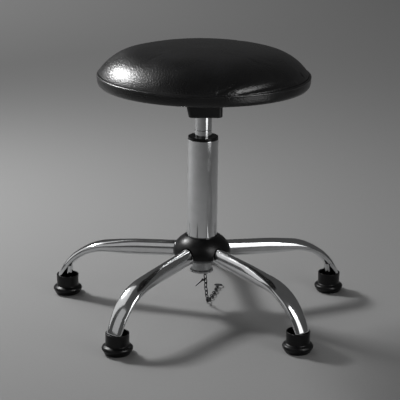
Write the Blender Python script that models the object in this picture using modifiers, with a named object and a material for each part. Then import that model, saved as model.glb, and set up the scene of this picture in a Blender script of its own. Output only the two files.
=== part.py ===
"""Backless laboratory stool: round padded seat on a gas lift, over a tube base with an earthing chain.

Metres, +Z up. The origin is on the floor, on the axis of the column. One leg points along +Y.
"""

import math

import bmesh
import bpy
from mathutils import Matrix, Vector

# Clearances
GAP = 0.0003  # between pieces that touch on the real stool
RUN_GAP = 0.0004  # round pieces that slide or turn
MERGE = 0.00001

# Facets of round shapes
FINE_SIDES = 44
ROUND_SIDES = 24
SMALL_SIDES = 16
WIRE_SIDES = 6

# Legs: one round tube each, pressed to an oval that is tall at the hub and flat in the bend.
# Past a notch in its underside only the tube's upper shell goes on, over a welded stem.
LEG_COUNT = 5
LEG_TUBE_DIAMETER = 0.025
LEG_TUBE_WALL = 0.0015
LEG_ROOT_HEIGHT = 0.1012
LEG_FALL = math.radians(3.8)
LEG_BEND_START = 0.1655
LEG_BEND_RADIUS = 0.095
LEG_END_HEIGHT = 0.031
LEG_HUB_DEPTH = 0.0272
LEG_BEND_DEPTH = 0.0136
LEG_END_WIDTH = 0.024
LEG_PRESS_LEAD = 0.056
LEG_PRESS_RUN = 0.054
LEG_HOLLOW_RUN = 0.020
LEG_NOTCH_LENGTH = 0.002
LEG_SHELL = 0.0035
LEG_SIDES = 14
STEM_RADIUS = 0.0058
STEM_OFFSET = 0.0037

# Glides: moulded cups, plugged on the legs' stems
GLIDE_OFFSET = 0.0093
GLIDE_SOLE_RADIUS = 0.0213
GLIDE_BEAD_RADIUS = 0.0245
GLIDE_BEAD_MIDDLE = 0.0078
GLIDE_BEAD_TOP = 0.0142
GLIDE_CUP_RADIUS = 0.0188
GLIDE_CUP_WALL = 0.0019
GLIDE_RIM_HEIGHT = 0.034
GLIDE_FLOOR_HEIGHT = 0.016
GLIDE_SOLE_THICKNESS = 0.006

# Hub and its moulded cover
HUB_RADIUS = 0.036
HUB_MARGIN = 0.001
HUB_WEB = 0.006
HUB_CHAMFER_WIDTH = 0.008
HUB_CHAMFER_HEIGHT = 0.0055
COVER_RADIUS = 0.04775
COVER_SETTLE = 0.0008
COVER_RISE = 0.0347
COVER_SKIRT = 0.0059
COVER_WALL = 0.0025
COVER_LIP_WIDTH = 0.003
COVER_LIP_HEIGHT = 0.0022
COVER_SLOT_GAP = 0.0014

# Column, its base plug and the slotted nut below the hub
COLUMN_RADIUS = 0.025
COLUMN_WALL = 0.002
COLUMN_TOP = 0.2934
PLUG_THICKNESS = 0.005
STUB_RADIUS = 0.011
NUT_HEIGHT = 0.0208
NUT_NECK_RADIUS = 0.015
NUT_RIM_RADIUS = 0.0197
NUT_RIM_HEIGHT = 0.0032
NUT_DISH = 0.0012
NUT_NOTCHES = 12
NUT_NOTCH_WIDTH = 0.0024
NUT_NOTCH_DEPTH = 0.0022
BUSH_LENGTH = 0.095
BUSH_FLANGE_RADIUS = 0.0245
BUSH_FLANGE_HEIGHT = 0.0043
BUSH_EDGE = 0.0012

# Thrust bearing under the gas spring
RACE_RADIUS = 0.013
RACE_THICKNESS = 0.0016
BALL_RADIUS = 0.002
BALL_CIRCLE = 0.009
BALL_COUNT = 8
CAGE_THICKNESS = 0.0016
CAGE_BAND = 0.0026

# Gas spring
CYLINDER_RADIUS = 0.014
CYLINDER_WALL = 0.002
CYLINDER_TOP = 0.366
CYLINDER_HEAD = 0.021
TAPER_LENGTH = 0.028
TAPER_TIP_RADIUS = 0.0132
RING_MARK_HEIGHT = 0.3088
RING_MARK_WIDTH = 0.0008
RING_MARK_DEPTH = 0.0004
ROD_RADIUS = 0.005
SPINDLE_RADIUS = 0.004
SPINDLE_PROUD = 0.0043
ROD_COLLAR_RADIUS = 0.007
ROD_COLLAR_HEIGHT = 0.002
ROD_HEAD_RADIUS = 0.006
ROD_HEAD_HEIGHT = 0.0024
PISTON_HEIGHT = 0.010
PISTON_ROOM = 0.014
ROD_GUIDE_LENGTH = 0.015
BUFFER_RADIUS = 0.0125
BUFFER_HEIGHT = 0.0062
CLIP_RADIUS = 0.0066
CLIP_THICKNESS = 0.0012
CLIP_GROOVE_DEPTH = 0.0008
CLIP_MOUTH = 0.004

# Release: button, lever, grip and pivot pin
BUTTON_RADIUS = 0.004
BUTTON_COLLAR_RADIUS = 0.006
BUTTON_COLLAR_HEIGHT = 0.005
BUTTON_PROUD = 0.0027
PIVOT_OFFSET = 0.020
PIN_RADIUS = 0.003
PIN_HEAD_RADIUS = 0.0045
PIN_HEAD_HEIGHT = 0.002
LEVER_THICKNESS = 0.004
LEVER_WIDTH = 0.010
LEVER_TAIL = 0.026
LEVER_BOSS_RADIUS = 0.0056
LEVER_LEVEL_REACH = 0.020
LEVER_SLOPE_REACH = 0.042
LEVER_REACH = 0.090
LEVER_DROP = 0.006
GRIP_START = 0.060
GRIP_END = 0.110
GRIP_WIDTH = 0.020
GRIP_HEIGHT = 0.0084
GRIP_SIDES = 16

# Mechanism housing: a pressed box with one flared side
HOUSING_BOTTOM = 0.336
HOUSING_WALL = 0.0025
HOUSING_RIGHT = 0.0287
HOUSING_LEFT = 0.0294
HOUSING_LEFT_FOOT = 0.0257
HOUSING_FLARE_HEIGHT = 0.018
HOUSING_HALF_LENGTH = 0.038
HOUSING_CORNER = 0.006
HOUSING_EDGE = 0.0012
SOCKET_RADIUS = 0.0185
SOCKET_LENGTH = 0.023
EAR_THICKNESS = 0.003
EAR_REACH = 0.008
EAR_RISE = 0.007
WINDOW_ROOM = 0.003

# Seat plate, board, cushion and piping
PLATE_SIDE = 0.150
PLATE_THICKNESS = 0.003
PLATE_CORNER = 0.018
BOLT_SPACING = 0.120
BOLT_RADIUS = 0.004
BOLT_HEAD_RADIUS = 0.0075
BOLT_HEAD_HEIGHT = 0.0053
BOLT_GRIP = 0.009
SEAT_BOTTOM = 0.385
BOARD_RADIUS = 0.160
BOARD_THICKNESS = 0.012
BAND_RADIUS = 0.1724
BAND_DRAW_IN = 0.004
BAND_HEIGHT = 0.0120
CROWN_RADIUS = 0.1711
CROWN_BASE = 0.3908
CROWN_RISE = 0.0545
CROWN_FULLNESS = 3.855
CROWN_EDGE = 1.394
CROWN_RINGS = 10
PIPING_RADIUS = 0.0023
PIPING_HEIGHT = 0.3995

# Earthing chain
LINK_COUNT = 18
LINK_LENGTH = 0.0113
LINK_WIDTH = 0.0068
LINK_WIRE = 0.0015
LINK_POINTS = 12
LINK_TWIST = math.radians(45)
LINK_ROLL_COUNT = 3
EYE_PLACE = (0.0055, -0.0068)
EYE_RADIUS = 0.0026
EYE_WIRE = 0.0015
EYE_STEM_RADIUS = 0.0012
EYE_STEM_DEPTH = 0.006
END_RING_RADIUS = 0.0066
END_RING_WIRE = 0.0017
END_RING_SLACK = 0.0012
TIE_LINK = 1
TIE_LOOP_RADIUS = 0.0019
TIE_BAND = 0.0011
TIE_HEAD = 0.0032
TIE_TAIL_WIDTH = 0.0022
TIE_TAIL_TIP = 0.0010
TIE_TAIL_THICKNESS = 0.0010
TIE_TAIL_LENGTH = 0.0165
TIE_TAIL_DIRECTION = Vector((-0.72, 0.045, -0.69))
CHAIN_ROUTE = [
    (0.0065, -0.0064, 0.0549),
    (0.0068, -0.0059, 0.0485),
    (0.0072, -0.0044, 0.0372),
    (0.0082, -0.0025, 0.0295),
    (0.0096, 0.0014, 0.0187),
    (0.0112, 0.0065, 0.0102),
    (0.0119, 0.0140, 0.0045),
    (0.0130, 0.0215, 0.0029),
    (0.0170, 0.0306, 0.0029),
    (0.0233, 0.0486, 0.0029),
    (0.0301, 0.0727, 0.0030),
    (0.0350, 0.0925, 0.0039),
    (0.0385, 0.1080, 0.0044),
]

# Heights that follow from the sizes above, from the hub up
HUB_BOTTOM = LEG_ROOT_HEIGHT - LEG_HUB_DEPTH / 2 - HUB_MARGIN
HUB_TOP = LEG_ROOT_HEIGHT + LEG_HUB_DEPTH / 2 + HUB_MARGIN
HUB_SHOULDER = HUB_BOTTOM + HUB_WEB
COVER_MIDDLE = LEG_ROOT_HEIGHT - COVER_SETTLE
COVER_BOTTOM = COVER_MIDDLE - COVER_SKIRT
COLUMN_BOTTOM = HUB_SHOULDER + GAP
COLUMN_BORE = COLUMN_RADIUS - COLUMN_WALL
PLUG_TOP = COLUMN_BOTTOM + PLUG_THICKNESS
NUT_TOP = HUB_BOTTOM - GAP
NUT_BOTTOM = NUT_TOP - NUT_HEIGHT
STUB_END = NUT_BOTTOM + GAP
SPINDLE_END = STUB_END - SPINDLE_PROUD
LOWER_RACE = PLUG_TOP + GAP
BALL_MIDDLE = LOWER_RACE + RACE_THICKNESS + GAP + BALL_RADIUS
UPPER_RACE = BALL_MIDDLE + BALL_RADIUS + GAP
ROD_COLLAR = UPPER_RACE + RACE_THICKNESS + GAP
BUFFER_BOTTOM = ROD_COLLAR + ROD_COLLAR_HEIGHT + GAP
CYLINDER_BOTTOM = BUFFER_BOTTOM + BUFFER_HEIGHT + GAP
CYLINDER_BORE = CYLINDER_RADIUS - CYLINDER_WALL
CYLINDER_BORE_TOP = CYLINDER_TOP - CYLINDER_HEAD
PISTON_TOP = CYLINDER_BORE_TOP - PISTON_ROOM - ROD_HEAD_HEIGHT - GAP
PISTON_BOTTOM = PISTON_TOP - PISTON_HEIGHT
CLIP_TOP = STUB_END - GAP
SPINDLE_HOLE = SPINDLE_RADIUS + RUN_GAP
BUSH_TOP = COLUMN_TOP + GAP + BUSH_FLANGE_HEIGHT
BUTTON_TOP = CYLINDER_TOP + BUTTON_PROUD
LEVER_HEIGHT = BUTTON_TOP + GAP + LEVER_THICKNESS / 2
PLATE_BOTTOM = SEAT_BOTTOM - GAP - PLATE_THICKNESS
HOUSING_TOP = PLATE_BOTTOM - GAP
HOUSING_FLOOR = HOUSING_BOTTOM + HOUSING_WALL
BOARD_TOP = SEAT_BOTTOM + BOARD_THICKNESS
PIPING_CIRCLE = BAND_RADIUS - PIPING_RADIUS
LINK_PITCH = LINK_LENGTH - 2 * LINK_WIRE - GAP
EYE_MIDDLE = STUB_END - GAP - EYE_WIRE / 2 - EYE_RADIUS
CHAIN_TOP = EYE_MIDDLE - EYE_RADIUS + (LINK_WIRE + EYE_WIRE) / 4 + GAP / 2

# Along the leg, measured on the tube from the start of its bend
BEND_START_HEIGHT = LEG_ROOT_HEIGHT - (LEG_BEND_START - HUB_RADIUS) * math.tan(LEG_FALL)
END_SLOPE = math.acos(math.cos(LEG_FALL) - (BEND_START_HEIGHT - LEG_END_HEIGHT) / LEG_BEND_RADIUS)
END_RUN = LEG_BEND_RADIUS * (END_SLOPE - LEG_FALL)
END_RADIUS = LEG_BEND_START + LEG_BEND_RADIUS * (math.sin(END_SLOPE) - math.sin(LEG_FALL))
ROOT_RUN = (HUB_RADIUS - LEG_BEND_START) / math.cos(LEG_FALL)
GLIDE_CIRCLE = END_RADIUS - GLIDE_OFFSET
STEM_CIRCLE = GLIDE_CIRCLE - STEM_OFFSET
STEM_SLOPE = math.asin((STEM_CIRCLE - LEG_BEND_START) / LEG_BEND_RADIUS + math.sin(LEG_FALL))
STEM_TOP = BEND_START_HEIGHT - LEG_BEND_RADIUS * (math.cos(LEG_FALL) - math.cos(STEM_SLOPE))
NOTCH_RUN = LEG_BEND_RADIUS * (STEM_SLOPE - LEG_FALL)


def new_collection(name):
    collection = bpy.data.collections.new(name)
    bpy.context.scene.collection.children.link(collection)
    return collection


def new_finish(name, colour, roughness, metallic):
    finish = bpy.data.materials.new(name)
    finish.use_nodes = True
    shader = finish.node_tree.nodes["Principled BSDF"]
    shader.inputs["Base Color"].default_value = (*colour, 1.0)
    shader.inputs["Roughness"].default_value = roughness
    shader.inputs["Metallic"].default_value = metallic
    return finish


for old in list(bpy.data.objects):
    bpy.data.objects.remove(old, do_unlink=True)

PARTS = new_collection("laboratory_stool")
CUTTERS = new_collection("cutters")
CUTTERS.hide_render = True

CHROME = new_finish("chromed steel", (0.80, 0.80, 0.81), 0.08, 1.0)
ZINC = new_finish("zinc plated steel", (0.60, 0.60, 0.60), 0.32, 1.0)
BEARING_STEEL = new_finish("bearing steel", (0.52, 0.52, 0.54), 0.2, 1.0)
BLACK_STEEL = new_finish("black painted steel", (0.018, 0.018, 0.019), 0.42, 0.0)
BLACK_PLASTIC = new_finish("black moulded plastic", (0.012, 0.012, 0.013), 0.34, 0.0)
RUBBER = new_finish("black rubber", (0.014, 0.014, 0.014), 0.7, 0.0)
PALE_PLASTIC = new_finish("acetal plastic", (0.55, 0.55, 0.53), 0.4, 0.0)
LEATHER = new_finish("black conductive leather", (0.010, 0.010, 0.011), 0.3, 0.0)
PLYWOOD = new_finish("black stained plywood", (0.03, 0.027, 0.025), 0.65, 0.0)


def new_axis(name, place=(0.0, 0.0, 0.0), parent=None):
    """An empty on a joint's axis, which carries the pieces of one body."""
    axis = bpy.data.objects.new(name, None)
    PARTS.objects.link(axis)
    axis.location = place
    axis.parent = parent
    axis.empty_display_size = 0.02
    return axis


BASE = new_axis("base_axis")
CAGE = new_axis("cage_axis", parent=BASE)
SPINDLE = new_axis("spindle_axis", parent=BASE)
SEAT = new_axis("seat_axis", parent=SPINDLE)
LEVER = new_axis("lever_axis", (PIVOT_OFFSET, 0.0, LEVER_HEIGHT), SEAT)
BUTTON = new_axis("button_axis", parent=SEAT)


def add_piece(name, mesh, finish, body, smooth=True):
    piece = bpy.data.objects.new(name, mesh)
    PARTS.objects.link(piece)
    piece.parent = body
    if not mesh.materials:
        mesh.materials.append(finish)
    if smooth:
        mesh.shade_smooth()
        mesh.set_sharp_from_angle(angle=math.radians(35))
    return piece


def add_cutter(name, mesh):
    cutter = bpy.data.objects.new(name, mesh)
    CUTTERS.objects.link(cutter)
    cutter.hide_render = True
    cutter.display_type = "WIRE"
    return cutter


def combine(piece, other, operation):
    change = piece.modifiers.new(other.name, "BOOLEAN")
    change.operation = operation
    change.solver = "EXACT"
    change.object = other


def baked_mesh(piece):
    """The piece's mesh with its modifiers applied. The piece itself is removed."""
    bpy.context.view_layer.update()
    graph = bpy.context.evaluated_depsgraph_get()
    mesh = bpy.data.meshes.new_from_object(piece.evaluated_get(graph))
    bpy.data.objects.remove(piece, do_unlink=True)
    return mesh


def mesh_from(name, shape):
    bmesh.ops.recalc_face_normals(shape, faces=shape.faces)
    mesh = bpy.data.meshes.new(name)
    shape.to_mesh(mesh)
    shape.free()
    return mesh


def add_box(shape, low, high):
    middle = (Vector(low) + Vector(high)) / 2
    size = Vector(high) - Vector(low)
    place = Matrix.Translation(middle) @ Matrix.Diagonal((*size, 1.0))
    bmesh.ops.create_cube(shape, size=1.0, matrix=place)


def add_bar(shape, radius, start, end, sides):
    """A round bar from start to end."""
    start = Vector(start)
    along = Vector(end) - start
    turn = along.to_track_quat("Z", "Y").to_matrix().to_4x4()
    place = Matrix.Translation(start + along / 2) @ turn
    bmesh.ops.create_cone(
        shape, cap_ends=True, segments=sides, radius1=radius, radius2=radius, depth=along.length, matrix=place
    )


def add_skin(shape, rings, cyclic=False):
    """Faces over rings of equal count. Cyclic joins the last ring to the first, else the ends are capped."""
    loops = [[shape.verts.new(point) for point in ring] for ring in rings]
    pairs = list(zip(loops, loops[1:]))
    if cyclic:
        pairs.append((loops[-1], loops[0]))
    else:
        shape.faces.new(loops[0])
        shape.faces.new(loops[-1])
    for near, far in pairs:
        for i in range(len(near)):
            j = (i + 1) % len(near)
            shape.faces.new((near[i], near[j], far[j], far[i]))


def torus_mesh(major, minor, sides):
    """A ring of round wire about Z."""
    bpy.ops.mesh.primitive_torus_add(
        major_radius=major, minor_radius=minor, major_segments=sides, minor_segments=WIRE_SIDES
    )
    ring = bpy.context.object
    mesh = ring.data
    bpy.data.objects.remove(ring, do_unlink=True)
    return mesh


def frame_matrix(middle, first, second):
    """A place at middle with X along first and Y along second."""
    turn = Matrix((first, second, first.cross(second))).transposed().to_4x4()
    return Matrix.Translation(middle) @ turn


def turned(name, profile, finish, body, closed=True, sides=ROUND_SIDES):
    """A solid of revolution. The profile's (radius, height) points run down its outer side."""
    mesh = bpy.data.meshes.new(name)
    edges = [(i, i + 1) for i in range(len(profile) - 1)]
    if closed:
        edges.append((len(profile) - 1, 0))
    mesh.from_pydata([(radius, 0.0, height) for radius, height in profile], edges, [])
    piece = add_piece(name, mesh, finish, body, smooth=False)
    screw = piece.modifiers.new("Turn", "SCREW")
    screw.axis = "Z"
    screw.steps = sides
    screw.render_steps = sides
    screw.use_merge_vertices = True
    screw.merge_threshold = MERGE
    screw.use_smooth_shade = True
    return piece


def ring_profile(inner, outer, bottom, top):
    return [(outer, top), (outer, bottom), (inner, bottom), (inner, top)]


def smooth_step(low, high, value):
    share = min(max((value - low) / (high - low), 0.0), 1.0)
    return share * share * (3 - 2 * share)


def leg_angle(index):
    return math.pi / 2 + 2 * math.pi * index / LEG_COUNT


def leg_axis(run):
    """Radius, height and downward slope of the tube's side edge, at a run from the start of the bend."""
    if run <= 0:
        radius = LEG_BEND_START + run * math.cos(LEG_FALL)
        return radius, BEND_START_HEIGHT - run * math.sin(LEG_FALL), LEG_FALL
    slope = LEG_FALL + run / LEG_BEND_RADIUS
    radius = LEG_BEND_START + LEG_BEND_RADIUS * (math.sin(slope) - math.sin(LEG_FALL))
    height = BEND_START_HEIGHT - LEG_BEND_RADIUS * (math.cos(LEG_FALL) - math.cos(slope))
    return radius, height, slope


def leg_section(run):
    """Half the width of the pressed tube, and how far its top and underside stand above its side edges.

    The width is what the round tube's girth leaves, drawn in again to the shell's width at the end.
    """
    pressed = smooth_step(-LEG_PRESS_LEAD, LEG_PRESS_RUN, run)
    depth = LEG_HUB_DEPTH + (LEG_BEND_DEPTH - LEG_HUB_DEPTH) * pressed
    width = math.sqrt(2 * LEG_TUBE_DIAMETER**2 - depth**2)
    width += (LEG_END_WIDTH - width) * smooth_step(LEG_PRESS_RUN / 2, END_RUN, run)
    under = -depth / 2 if run < NOTCH_RUN else depth / 2 - LEG_SHELL
    return width / 2, depth / 2, under


def leg_ring(run, inset=0.0):
    radius, height, slope = leg_axis(run)
    half_width, top, under = leg_section(run)
    points = []
    for k in range(LEG_SIDES):
        turn = 2 * math.pi * k / LEG_SIDES
        lift = math.cos(turn)
        rise = (top - inset) * lift if lift > 0 else -(under + inset) * lift
        side = (half_width - inset) * math.sin(turn)
        points.append(Vector((radius + rise * math.sin(slope), side, height + rise * math.cos(slope))))
    return points


def leg_root_ring(inset=0.0):
    """The tube's end at the hub, shaped to sit round it."""
    points = leg_ring(ROOT_RUN, inset)
    for point in points:
        reach = math.sqrt((HUB_RADIUS + GAP) ** 2 - point.y**2)
        point.z -= (reach - point.x) * math.tan(LEG_FALL)
        point.x = reach
    return points


def spaced(first, last, count):
    return [first + (last - first) * k / count for k in range(count + 1)]


def make_legs():
    notch = LEG_NOTCH_LENGTH / 2
    hollow = spaced(LEG_HOLLOW_RUN, -LEG_PRESS_LEAD, 4)
    rings = [leg_ring(run, LEG_TUBE_WALL) for run in hollow]
    rings += [leg_root_ring(LEG_TUBE_WALL), leg_root_ring()]
    rings += [leg_ring(run) for run in spaced(-LEG_PRESS_LEAD, NOTCH_RUN - notch, 9)]
    rings += [leg_ring(run) for run in spaced(NOTCH_RUN + notch, END_RUN, 3)]
    shape = bmesh.new()
    add_skin(shape, rings)
    leg = add_piece("leg", mesh_from("leg", shape), CHROME, BASE)
    shape = bmesh.new()
    stem_foot = GLIDE_SOLE_THICKNESS + GAP
    add_bar(shape, STEM_RADIUS, (STEM_CIRCLE, 0.0, stem_foot), (STEM_CIRCLE, 0.0, STEM_TOP), SMALL_SIDES)
    combine(leg, add_cutter("leg_stem", mesh_from("leg_stem", shape)), "UNION")
    mesh = baked_mesh(leg)
    for i in range(LEG_COUNT):
        leg = add_piece(f"leg_{i + 1}", mesh, CHROME, BASE)
        leg.rotation_euler.z = leg_angle(i)


def make_glides():
    bore = GLIDE_CUP_RADIUS - GLIDE_CUP_WALL
    bead_round = GLIDE_BEAD_RADIUS - GLIDE_SOLE_RADIUS
    edge = GLIDE_CUP_WALL / 3
    profile = [
        (0.0, GLIDE_FLOOR_HEIGHT),
        (bore, GLIDE_FLOOR_HEIGHT),
        (bore, GLIDE_RIM_HEIGHT - edge),
        (bore + edge, GLIDE_RIM_HEIGHT),
        (GLIDE_CUP_RADIUS - edge, GLIDE_RIM_HEIGHT),
        (GLIDE_CUP_RADIUS, GLIDE_RIM_HEIGHT - edge),
        (GLIDE_CUP_RADIUS - edge, GLIDE_BEAD_TOP + GLIDE_CUP_WALL),
        (GLIDE_CUP_RADIUS + edge, GLIDE_BEAD_TOP),
        (GLIDE_BEAD_RADIUS - bead_round / 2, GLIDE_BEAD_TOP - edge),
        (GLIDE_BEAD_RADIUS, GLIDE_BEAD_MIDDLE + bead_round / 2),
        (GLIDE_BEAD_RADIUS, GLIDE_BEAD_MIDDLE - bead_round / 2),
        (GLIDE_SOLE_RADIUS + bead_round / 2, edge),
        (GLIDE_SOLE_RADIUS, 0.0),
        (0.0, 0.0),
    ]
    cup = turned("glide_cup", profile, BLACK_PLASTIC, BASE, closed=False, sides=SMALL_SIDES)
    shape = bmesh.new()
    hole_foot = (-STEM_OFFSET, 0.0, GLIDE_SOLE_THICKNESS)
    add_bar(shape, STEM_RADIUS + GAP, hole_foot, (-STEM_OFFSET, 0.0, GLIDE_RIM_HEIGHT), SMALL_SIDES)
    combine(cup, add_cutter("stem_hole", mesh_from("stem_hole", shape)), "DIFFERENCE")
    mesh = baked_mesh(cup)
    for i in range(LEG_COUNT):
        glide = add_piece(f"glide_{i + 1}", mesh, BLACK_PLASTIC, BASE)
        turn = Matrix.Rotation(leg_angle(i), 4, "Z")
        glide.matrix_basis = turn @ Matrix.Translation((GLIDE_CIRCLE, 0.0, 0.0))


def make_hub():
    profile = [
        (HUB_RADIUS, HUB_TOP),
        (HUB_RADIUS, HUB_BOTTOM + HUB_CHAMFER_HEIGHT),
        (HUB_RADIUS - HUB_CHAMFER_WIDTH, HUB_BOTTOM),
        (STUB_RADIUS + GAP, HUB_BOTTOM),
        (STUB_RADIUS + GAP, HUB_SHOULDER),
        (COLUMN_RADIUS + GAP, HUB_SHOULDER),
        (COLUMN_RADIUS + GAP, HUB_TOP),
    ]
    turned("hub_sleeve", profile, ZINC, BASE)


def dome_points(radius, rise, from_radius, to_height, count):
    """Points down an oval dome, from a radius near its top to a height below its widest part."""
    first = math.acos(from_radius / radius)
    last = math.asin((to_height - COVER_MIDDLE) / rise)
    turns = [first + (last - first) * k / count for k in range(count + 1)]
    return [(radius * math.cos(t), COVER_MIDDLE + rise * math.sin(t)) for t in turns]


def cover_slots():
    """Arched slots that let the cover drop over the legs."""
    half_width, half_depth, _ = leg_section(ROOT_RUN)
    half_width += COVER_SLOT_GAP
    half_depth += COVER_SLOT_GAP
    middle = LEG_ROOT_HEIGHT - (COVER_RADIUS - HUB_RADIUS) * math.tan(LEG_FALL)
    turns = [math.pi * k / 10 for k in range(11)]
    outline = [(half_width * math.cos(t), middle + half_depth * math.sin(t)) for t in turns]
    foot = COVER_BOTTOM - COVER_WALL
    outline += [(-half_width, foot), (half_width, foot)]
    reaches = (HUB_RADIUS - COVER_WALL, COVER_RADIUS + COVER_WALL)
    shape = bmesh.new()
    for i in range(LEG_COUNT):
        turn = Matrix.Rotation(leg_angle(i), 3, "Z")
        rings = [[turn @ Vector((reach, side, z)) for side, z in outline] for reach in reaches]
        add_skin(shape, rings)
    return add_cutter("cover_slots", mesh_from("cover_slots", shape))


def make_cover():
    bore = COLUMN_RADIUS + GAP
    lip = bore + COVER_LIP_WIDTH
    outside = dome_points(COVER_RADIUS, COVER_RISE, lip, COVER_BOTTOM, 9)
    inside = dome_points(COVER_RADIUS - COVER_WALL, COVER_RISE - COVER_WALL, lip, COVER_BOTTOM, 4)
    lip_top = outside[0][1] + COVER_LIP_HEIGHT
    edge = COVER_LIP_WIDTH / 3
    rim = [(bore, lip_top - edge), (bore + edge, lip_top), (lip - edge, lip_top), (lip, lip_top - edge)]
    under = [(bore, inside[0][1])]
    profile = rim + outside + inside[::-1] + under
    cover = turned("hub_cover", profile, BLACK_PLASTIC, BASE, sides=8 * LEG_COUNT)
    combine(cover, cover_slots(), "DIFFERENCE")


def make_column():
    turned("column_tube", ring_profile(COLUMN_BORE, COLUMN_RADIUS, COLUMN_BOTTOM, COLUMN_TOP), CHROME, BASE)
    profile = [
        (COLUMN_BORE - GAP, PLUG_TOP),
        (COLUMN_BORE - GAP, COLUMN_BOTTOM),
        (STUB_RADIUS, COLUMN_BOTTOM),
        (STUB_RADIUS, STUB_END),
        (SPINDLE_HOLE, STUB_END),
        (SPINDLE_HOLE, PLUG_TOP),
    ]
    plug = turned("column_plug", profile, ZINC, BASE, sides=SMALL_SIDES)
    shape = bmesh.new()
    eye_place = Vector((*EYE_PLACE, STUB_END))
    depth = Vector((0.0, 0.0, EYE_STEM_DEPTH + GAP))
    add_bar(shape, EYE_STEM_RADIUS + GAP, eye_place - depth, eye_place + depth, 8)
    combine(plug, add_cutter("eye_hole", mesh_from("eye_hole", shape)), "DIFFERENCE")
    profile = [
        (BUSH_FLANGE_RADIUS - BUSH_EDGE, BUSH_TOP),
        (BUSH_FLANGE_RADIUS, BUSH_TOP - BUSH_EDGE),
        (BUSH_FLANGE_RADIUS, COLUMN_TOP + GAP),
        (COLUMN_BORE - GAP, COLUMN_TOP + GAP),
        (COLUMN_BORE - GAP, BUSH_TOP - BUSH_LENGTH),
        (CYLINDER_RADIUS + RUN_GAP, BUSH_TOP - BUSH_LENGTH),
        (CYLINDER_RADIUS + RUN_GAP, BUSH_TOP - BUSH_EDGE),
        (CYLINDER_RADIUS + RUN_GAP + BUSH_EDGE, BUSH_TOP),
    ]
    turned("guide_bush", profile, BLACK_PLASTIC, BASE)


def make_nut():
    rim_top = NUT_BOTTOM + NUT_RIM_HEIGHT
    rim_width = NUT_NOTCH_DEPTH + NUT_DISH
    profile = [
        (NUT_NECK_RADIUS, NUT_TOP),
        (NUT_NECK_RADIUS, rim_top - NUT_DISH),
        (NUT_RIM_RADIUS - rim_width, rim_top - NUT_DISH),
        (NUT_RIM_RADIUS - NUT_NOTCH_DEPTH, rim_top),
        (NUT_RIM_RADIUS, rim_top),
        (NUT_RIM_RADIUS, NUT_BOTTOM),
        (STUB_RADIUS + GAP, NUT_BOTTOM),
        (STUB_RADIUS + GAP, NUT_TOP),
    ]
    nut = turned("ring_nut", profile, ZINC, BASE, sides=2 * NUT_NOTCHES)
    shape = bmesh.new()
    for i in range(NUT_NOTCHES):
        notch = bmesh.new()
        low = (NUT_RIM_RADIUS - NUT_NOTCH_DEPTH, -NUT_NOTCH_WIDTH / 2, NUT_BOTTOM - NUT_RIM_HEIGHT)
        high = (NUT_RIM_RADIUS + NUT_NOTCH_DEPTH, NUT_NOTCH_WIDTH / 2, rim_top + NUT_RIM_HEIGHT)
        add_box(notch, low, high)
        turn = Matrix.Rotation(2 * math.pi * (i + 0.25) / NUT_NOTCHES, 4, "Z")
        notch.transform(turn)
        mesh = mesh_from("notch", notch)
        shape.from_mesh(mesh)
    combine(nut, add_cutter("nut_notches", mesh_from("nut_notches", shape)), "DIFFERENCE")


def make_bearing():
    lower = ring_profile(SPINDLE_HOLE, RACE_RADIUS, LOWER_RACE, LOWER_RACE + RACE_THICKNESS)
    turned("bearing_race_lower", lower, BEARING_STEEL, BASE, sides=SMALL_SIDES)
    upper = ring_profile(SPINDLE_HOLE, RACE_RADIUS, UPPER_RACE, UPPER_RACE + RACE_THICKNESS)
    turned("bearing_race_upper", upper, BEARING_STEEL, SPINDLE, sides=SMALL_SIDES)
    low = BALL_MIDDLE - CAGE_THICKNESS / 2
    band = ring_profile(BALL_CIRCLE - CAGE_BAND, BALL_CIRCLE + CAGE_BAND, low, low + CAGE_THICKNESS)
    cage = turned("bearing_cage", band, BEARING_STEEL, CAGE, sides=SMALL_SIDES)
    shape = bmesh.new()
    for i in range(BALL_COUNT):
        turn = Matrix.Rotation(2 * math.pi * i / BALL_COUNT, 4, "Z")
        place = turn @ Matrix.Translation((BALL_CIRCLE, 0.0, BALL_MIDDLE))
        bmesh.ops.create_uvsphere(shape, u_segments=6, v_segments=4, radius=BALL_RADIUS, matrix=place)
    combine(cage, add_cutter("bearing_balls", mesh_from("bearing_balls", shape)), "UNION")


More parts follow.
